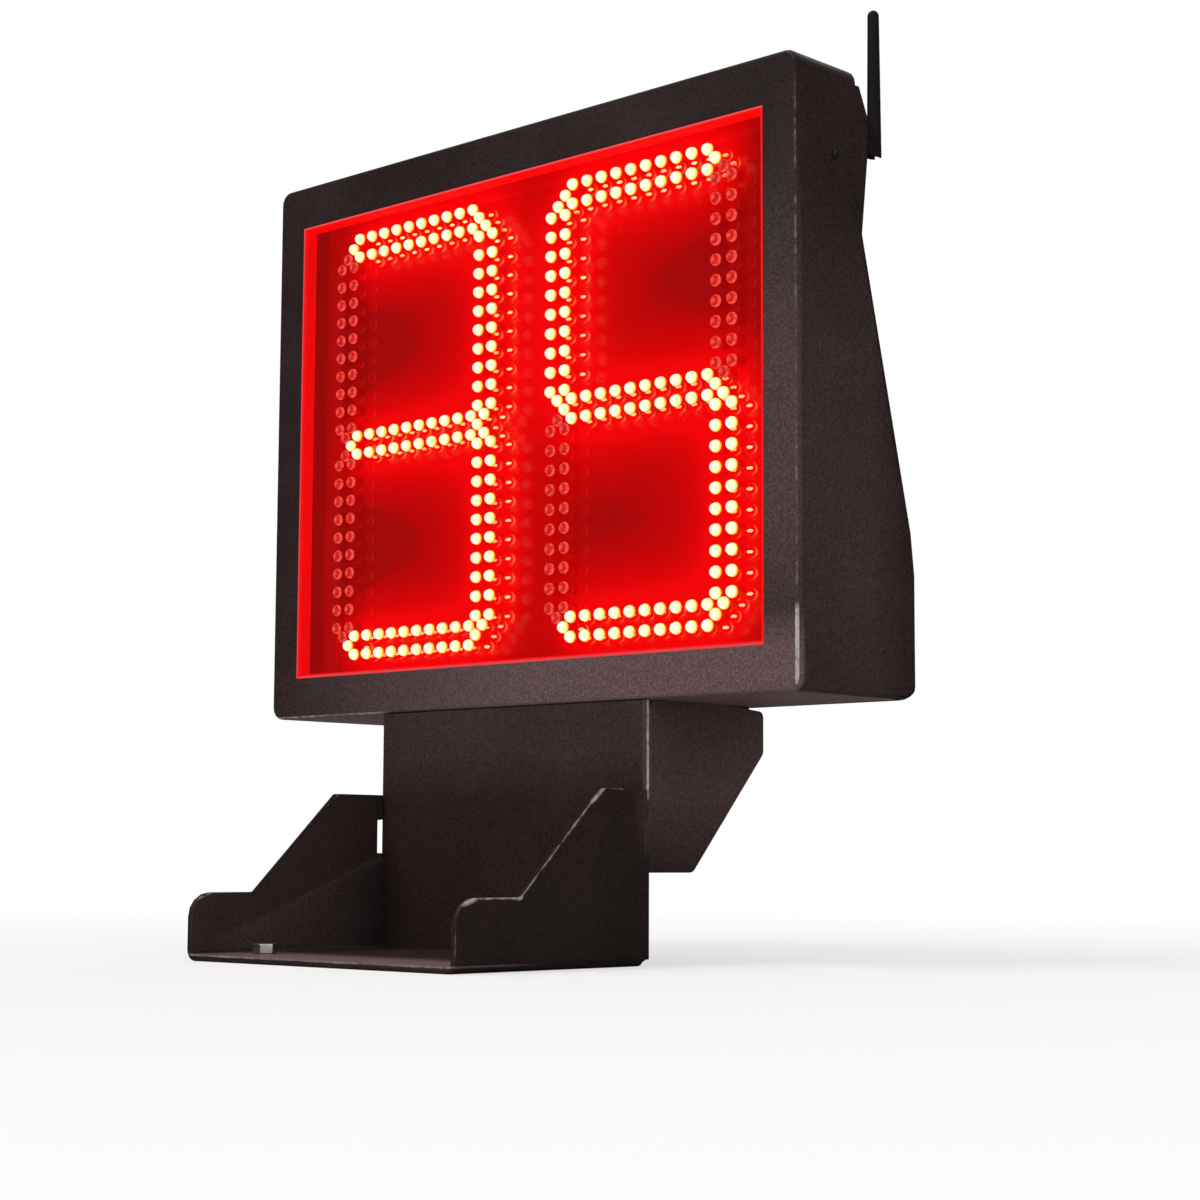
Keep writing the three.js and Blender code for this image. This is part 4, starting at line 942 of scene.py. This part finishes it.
# after its two colours, each finish has its roughness, its metallic value and its grains in a metre
galvanised = plain_finish("galvanised sheet", ("#8f9396", "#a9adaf"), 0.42, 0.9, 90.0)
brass = plain_finish("turned brass", ("#a9823e", "#c39c57"), 0.3, 1.0, 400.0)
glass_epoxy = plain_finish("green glass epoxy board", ("#0d2418", "#163524"), 0.38, 0.0, 500.0)
ribbon_pvc = plain_finish("grey ribbon cable", ("#66686b", "#797b7e"), 0.55, 0.0, 300.0)
horn_enamel = plain_finish("black enamel on pressed steel", ("#191a1c", "#232426"), 0.35, 0.0, 60.0)
coax_pvc = plain_finish("black PVC jacket", ("#151516", "#1e1e20"), 0.5, 0.0, 400.0)
inside = {
    galvanised: ["chassis_plate", "power_supply"],
    zinc: ["horn_strap"],
    brass: [name for name in solids if "standoff" in name] + ["antenna_jack", "antenna_jack_nut"],
    glass_epoxy: ["controller_board", "radio_module"],
    ribbon_pvc: ["ribbon_cable_left", "ribbon_cable_right"],
    horn_enamel: ["horn"],
    coax_pvc: ["antenna_coax"],
}
for finish, names in inside.items():
    for name in names:
        dress(name, finish)

# Inlet, switch and antenna
# The inlet and the switch are moulded ABS, faintly pebbled, and the antenna's elbow and whip have a dull
# rubber skin. The rocker, elbow and whip move, so each rides on its own body.

black_abs = plain_finish("black moulded ABS", ("#1a1818", "#242121"), 0.48, 0.0, 900.0, 0.35)
satin_rubber = plain_finish(
    "black rubber over the whip", ("#151010", "#1c1515"), 0.62, 0.0, 700.0, strength=0.3, gloss=0.12
)
for name, source, body, finish in (
    ("inlet", "power_inlet", "clock", black_abs),
    ("rocker_frame", "switch_housing", "clock", black_abs),
    ("rocker", "switch_rocker", "switch_rocker", black_abs),
    ("elbow", "antenna_elbow", "antenna_elbow", satin_rubber),
    ("whip", "antenna_whip", "antenna_whip", satin_rubber),
):
    moulded = soft_copy(name, source, edge=0.25, finish=finish)
    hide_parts(source)
    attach(moulded, body)
dress("antenna_hinge_pin", zinc)

# Floor and light
# A pale floor in a white room, under three soft lamps. The camera sees both as white, the floor more so
# away from the clock. A mirrored ray meets a dim floor and a room that is lit from above only, so that
# the gloss of the pane and the boards doesn't wash out the display.

half_floor, floor_level = 30, -0.0001
ground_mesh = bpy.data.meshes.new("floor")
ground_mesh.from_pydata(
    [(x * half_floor, y * half_floor, floor_level) for x, y in ((-1, -1), (1, -1), (1, 1), (-1, 1))],
    [],
    [(0, 1, 2, 3)],
)
ground = bpy.data.objects.new("floor", ground_mesh)
bpy.context.scene.collection.objects.link(ground)
floor_finish, tree, place, output = new_finish("pale floor")
matt = add_node(tree, "ShaderNodeBsdfDiffuse", {"Color": linear("#e9e9e8")}).outputs[0]
dim = add_node(tree, "ShaderNodeBsdfDiffuse", {"Color": linear("#5e5e5e")}).outputs[0]
pale = add_node(
    tree, "ShaderNodeEmission", {"Color": linear("#ffffff"), "Strength": 1.0}
).outputs[0]
rays = add_node(tree, "ShaderNodeLightPath").outputs
seen = rays["Is Camera Ray"]
away = add_node(tree, "ShaderNodeVectorMath", {0: place}, operation="LENGTH").outputs["Value"]
whiten = add_node(
    tree,
    "ShaderNodeMapRange",
    {"Value": away, "From Min": 0.2, "From Max": 1.4, "To Min": 0.6, "To Max": 1.0},
).outputs["Result"]
share = add_node(tree, "ShaderNodeMath", {0: seen, 1: whiten}, operation="MULTIPLY").outputs[0]
mixed = add_node(tree, "ShaderNodeMixShader", {0: share, 1: matt, 2: pale}).outputs[0]
mirrored = add_node(
    tree, "ShaderNodeMath", {0: rays["Glossy Depth"], 1: 0.5}, operation="GREATER_THAN"
).outputs[0]
mixed = add_node(tree, "ShaderNodeMixShader", {0: mirrored, 1: mixed, 2: dim}).outputs[0]
tree.links.new(mixed, output.inputs["Surface"])
ground_mesh.materials.append(floor_finish)

world = bpy.data.worlds.new("room")
world.use_nodes = True
bpy.context.scene.world = world
tree = world.node_tree
tree.nodes.clear()
rays = add_node(tree, "ShaderNodeLightPath").outputs
white = (1, 1, 1, 1)
room = add_node(tree, "ShaderNodeBackground", {"Color": white, "Strength": 0.5}).outputs[0]
backdrop = add_node(tree, "ShaderNodeBackground", {"Color": white, "Strength": 1.0}).outputs[0]
heading = add_node(tree, "ShaderNodeTexCoord").outputs["Generated"]
height = add_node(tree, "ShaderNodeSeparateXYZ", {"Vector": heading}).outputs["Z"]
overhead = add_node(
    tree,
    "ShaderNodeMapRange",
    {"Value": height, "From Min": 0.4, "From Max": 0.85, "To Min": 0.004, "To Max": 0.9},
    interpolation_type="SMOOTHSTEP",
).outputs["Result"]
gloss = add_node(tree, "ShaderNodeBackground", {"Color": white, "Strength": overhead}).outputs[0]
mirrored = add_node(
    tree, "ShaderNodeMath", {0: rays["Glossy Depth"], 1: 0.5}, operation="GREATER_THAN"
).outputs[0]
lit_room = add_node(tree, "ShaderNodeMixShader", {0: mirrored, 1: room, 2: gloss}).outputs[0]
seen = add_node(
    tree,
    "ShaderNodeMath",
    {0: rays["Is Camera Ray"], 1: rays["Is Transmission Ray"]},
    operation="MAXIMUM",
).outputs[0]
straight = add_node(tree, "ShaderNodeMath", {0: 1.0, 1: mirrored}, operation="SUBTRACT").outputs[0]
direct = add_node(tree, "ShaderNodeMath", {0: seen, 1: straight}, operation="MULTIPLY").outputs[0]
mixed = add_node(tree, "ShaderNodeMixShader", {0: direct, 1: lit_room, 2: backdrop}).outputs[0]
add_node(tree, "ShaderNodeOutputWorld", {"Surface": mixed})


def soft_lamp(name, place, size, power):
    """A soft rectangular lamp that faces the clock's middle."""
    clock_middle = Vector((0, 0.1, 0.3))
    lamp = bpy.data.lights.new(name, "AREA")
    lamp.shape = "RECTANGLE"
    lamp.size, lamp.size_y = size
    lamp.energy = power
    lamp_object = bpy.data.objects.new(name, lamp)
    lamp_object.location = place
    lamp_object.rotation_euler = (clock_middle - Vector(place)).to_track_quat("-Z", "Y").to_euler()
    bpy.context.scene.collection.objects.link(lamp_object)


soft_lamp("key", place=(-0.6, -2.0, 3.0), size=(1.6, 1.6), power=62)
soft_lamp("fill", place=(2.6, -0.6, 0.7), size=(1.6, 1.0), power=12)
soft_lamp("back", place=(-1.2, 2.4, 1.6), size=(1.6, 1.6), power=16)
bpy.context.scene.view_settings.view_transform = "Standard"
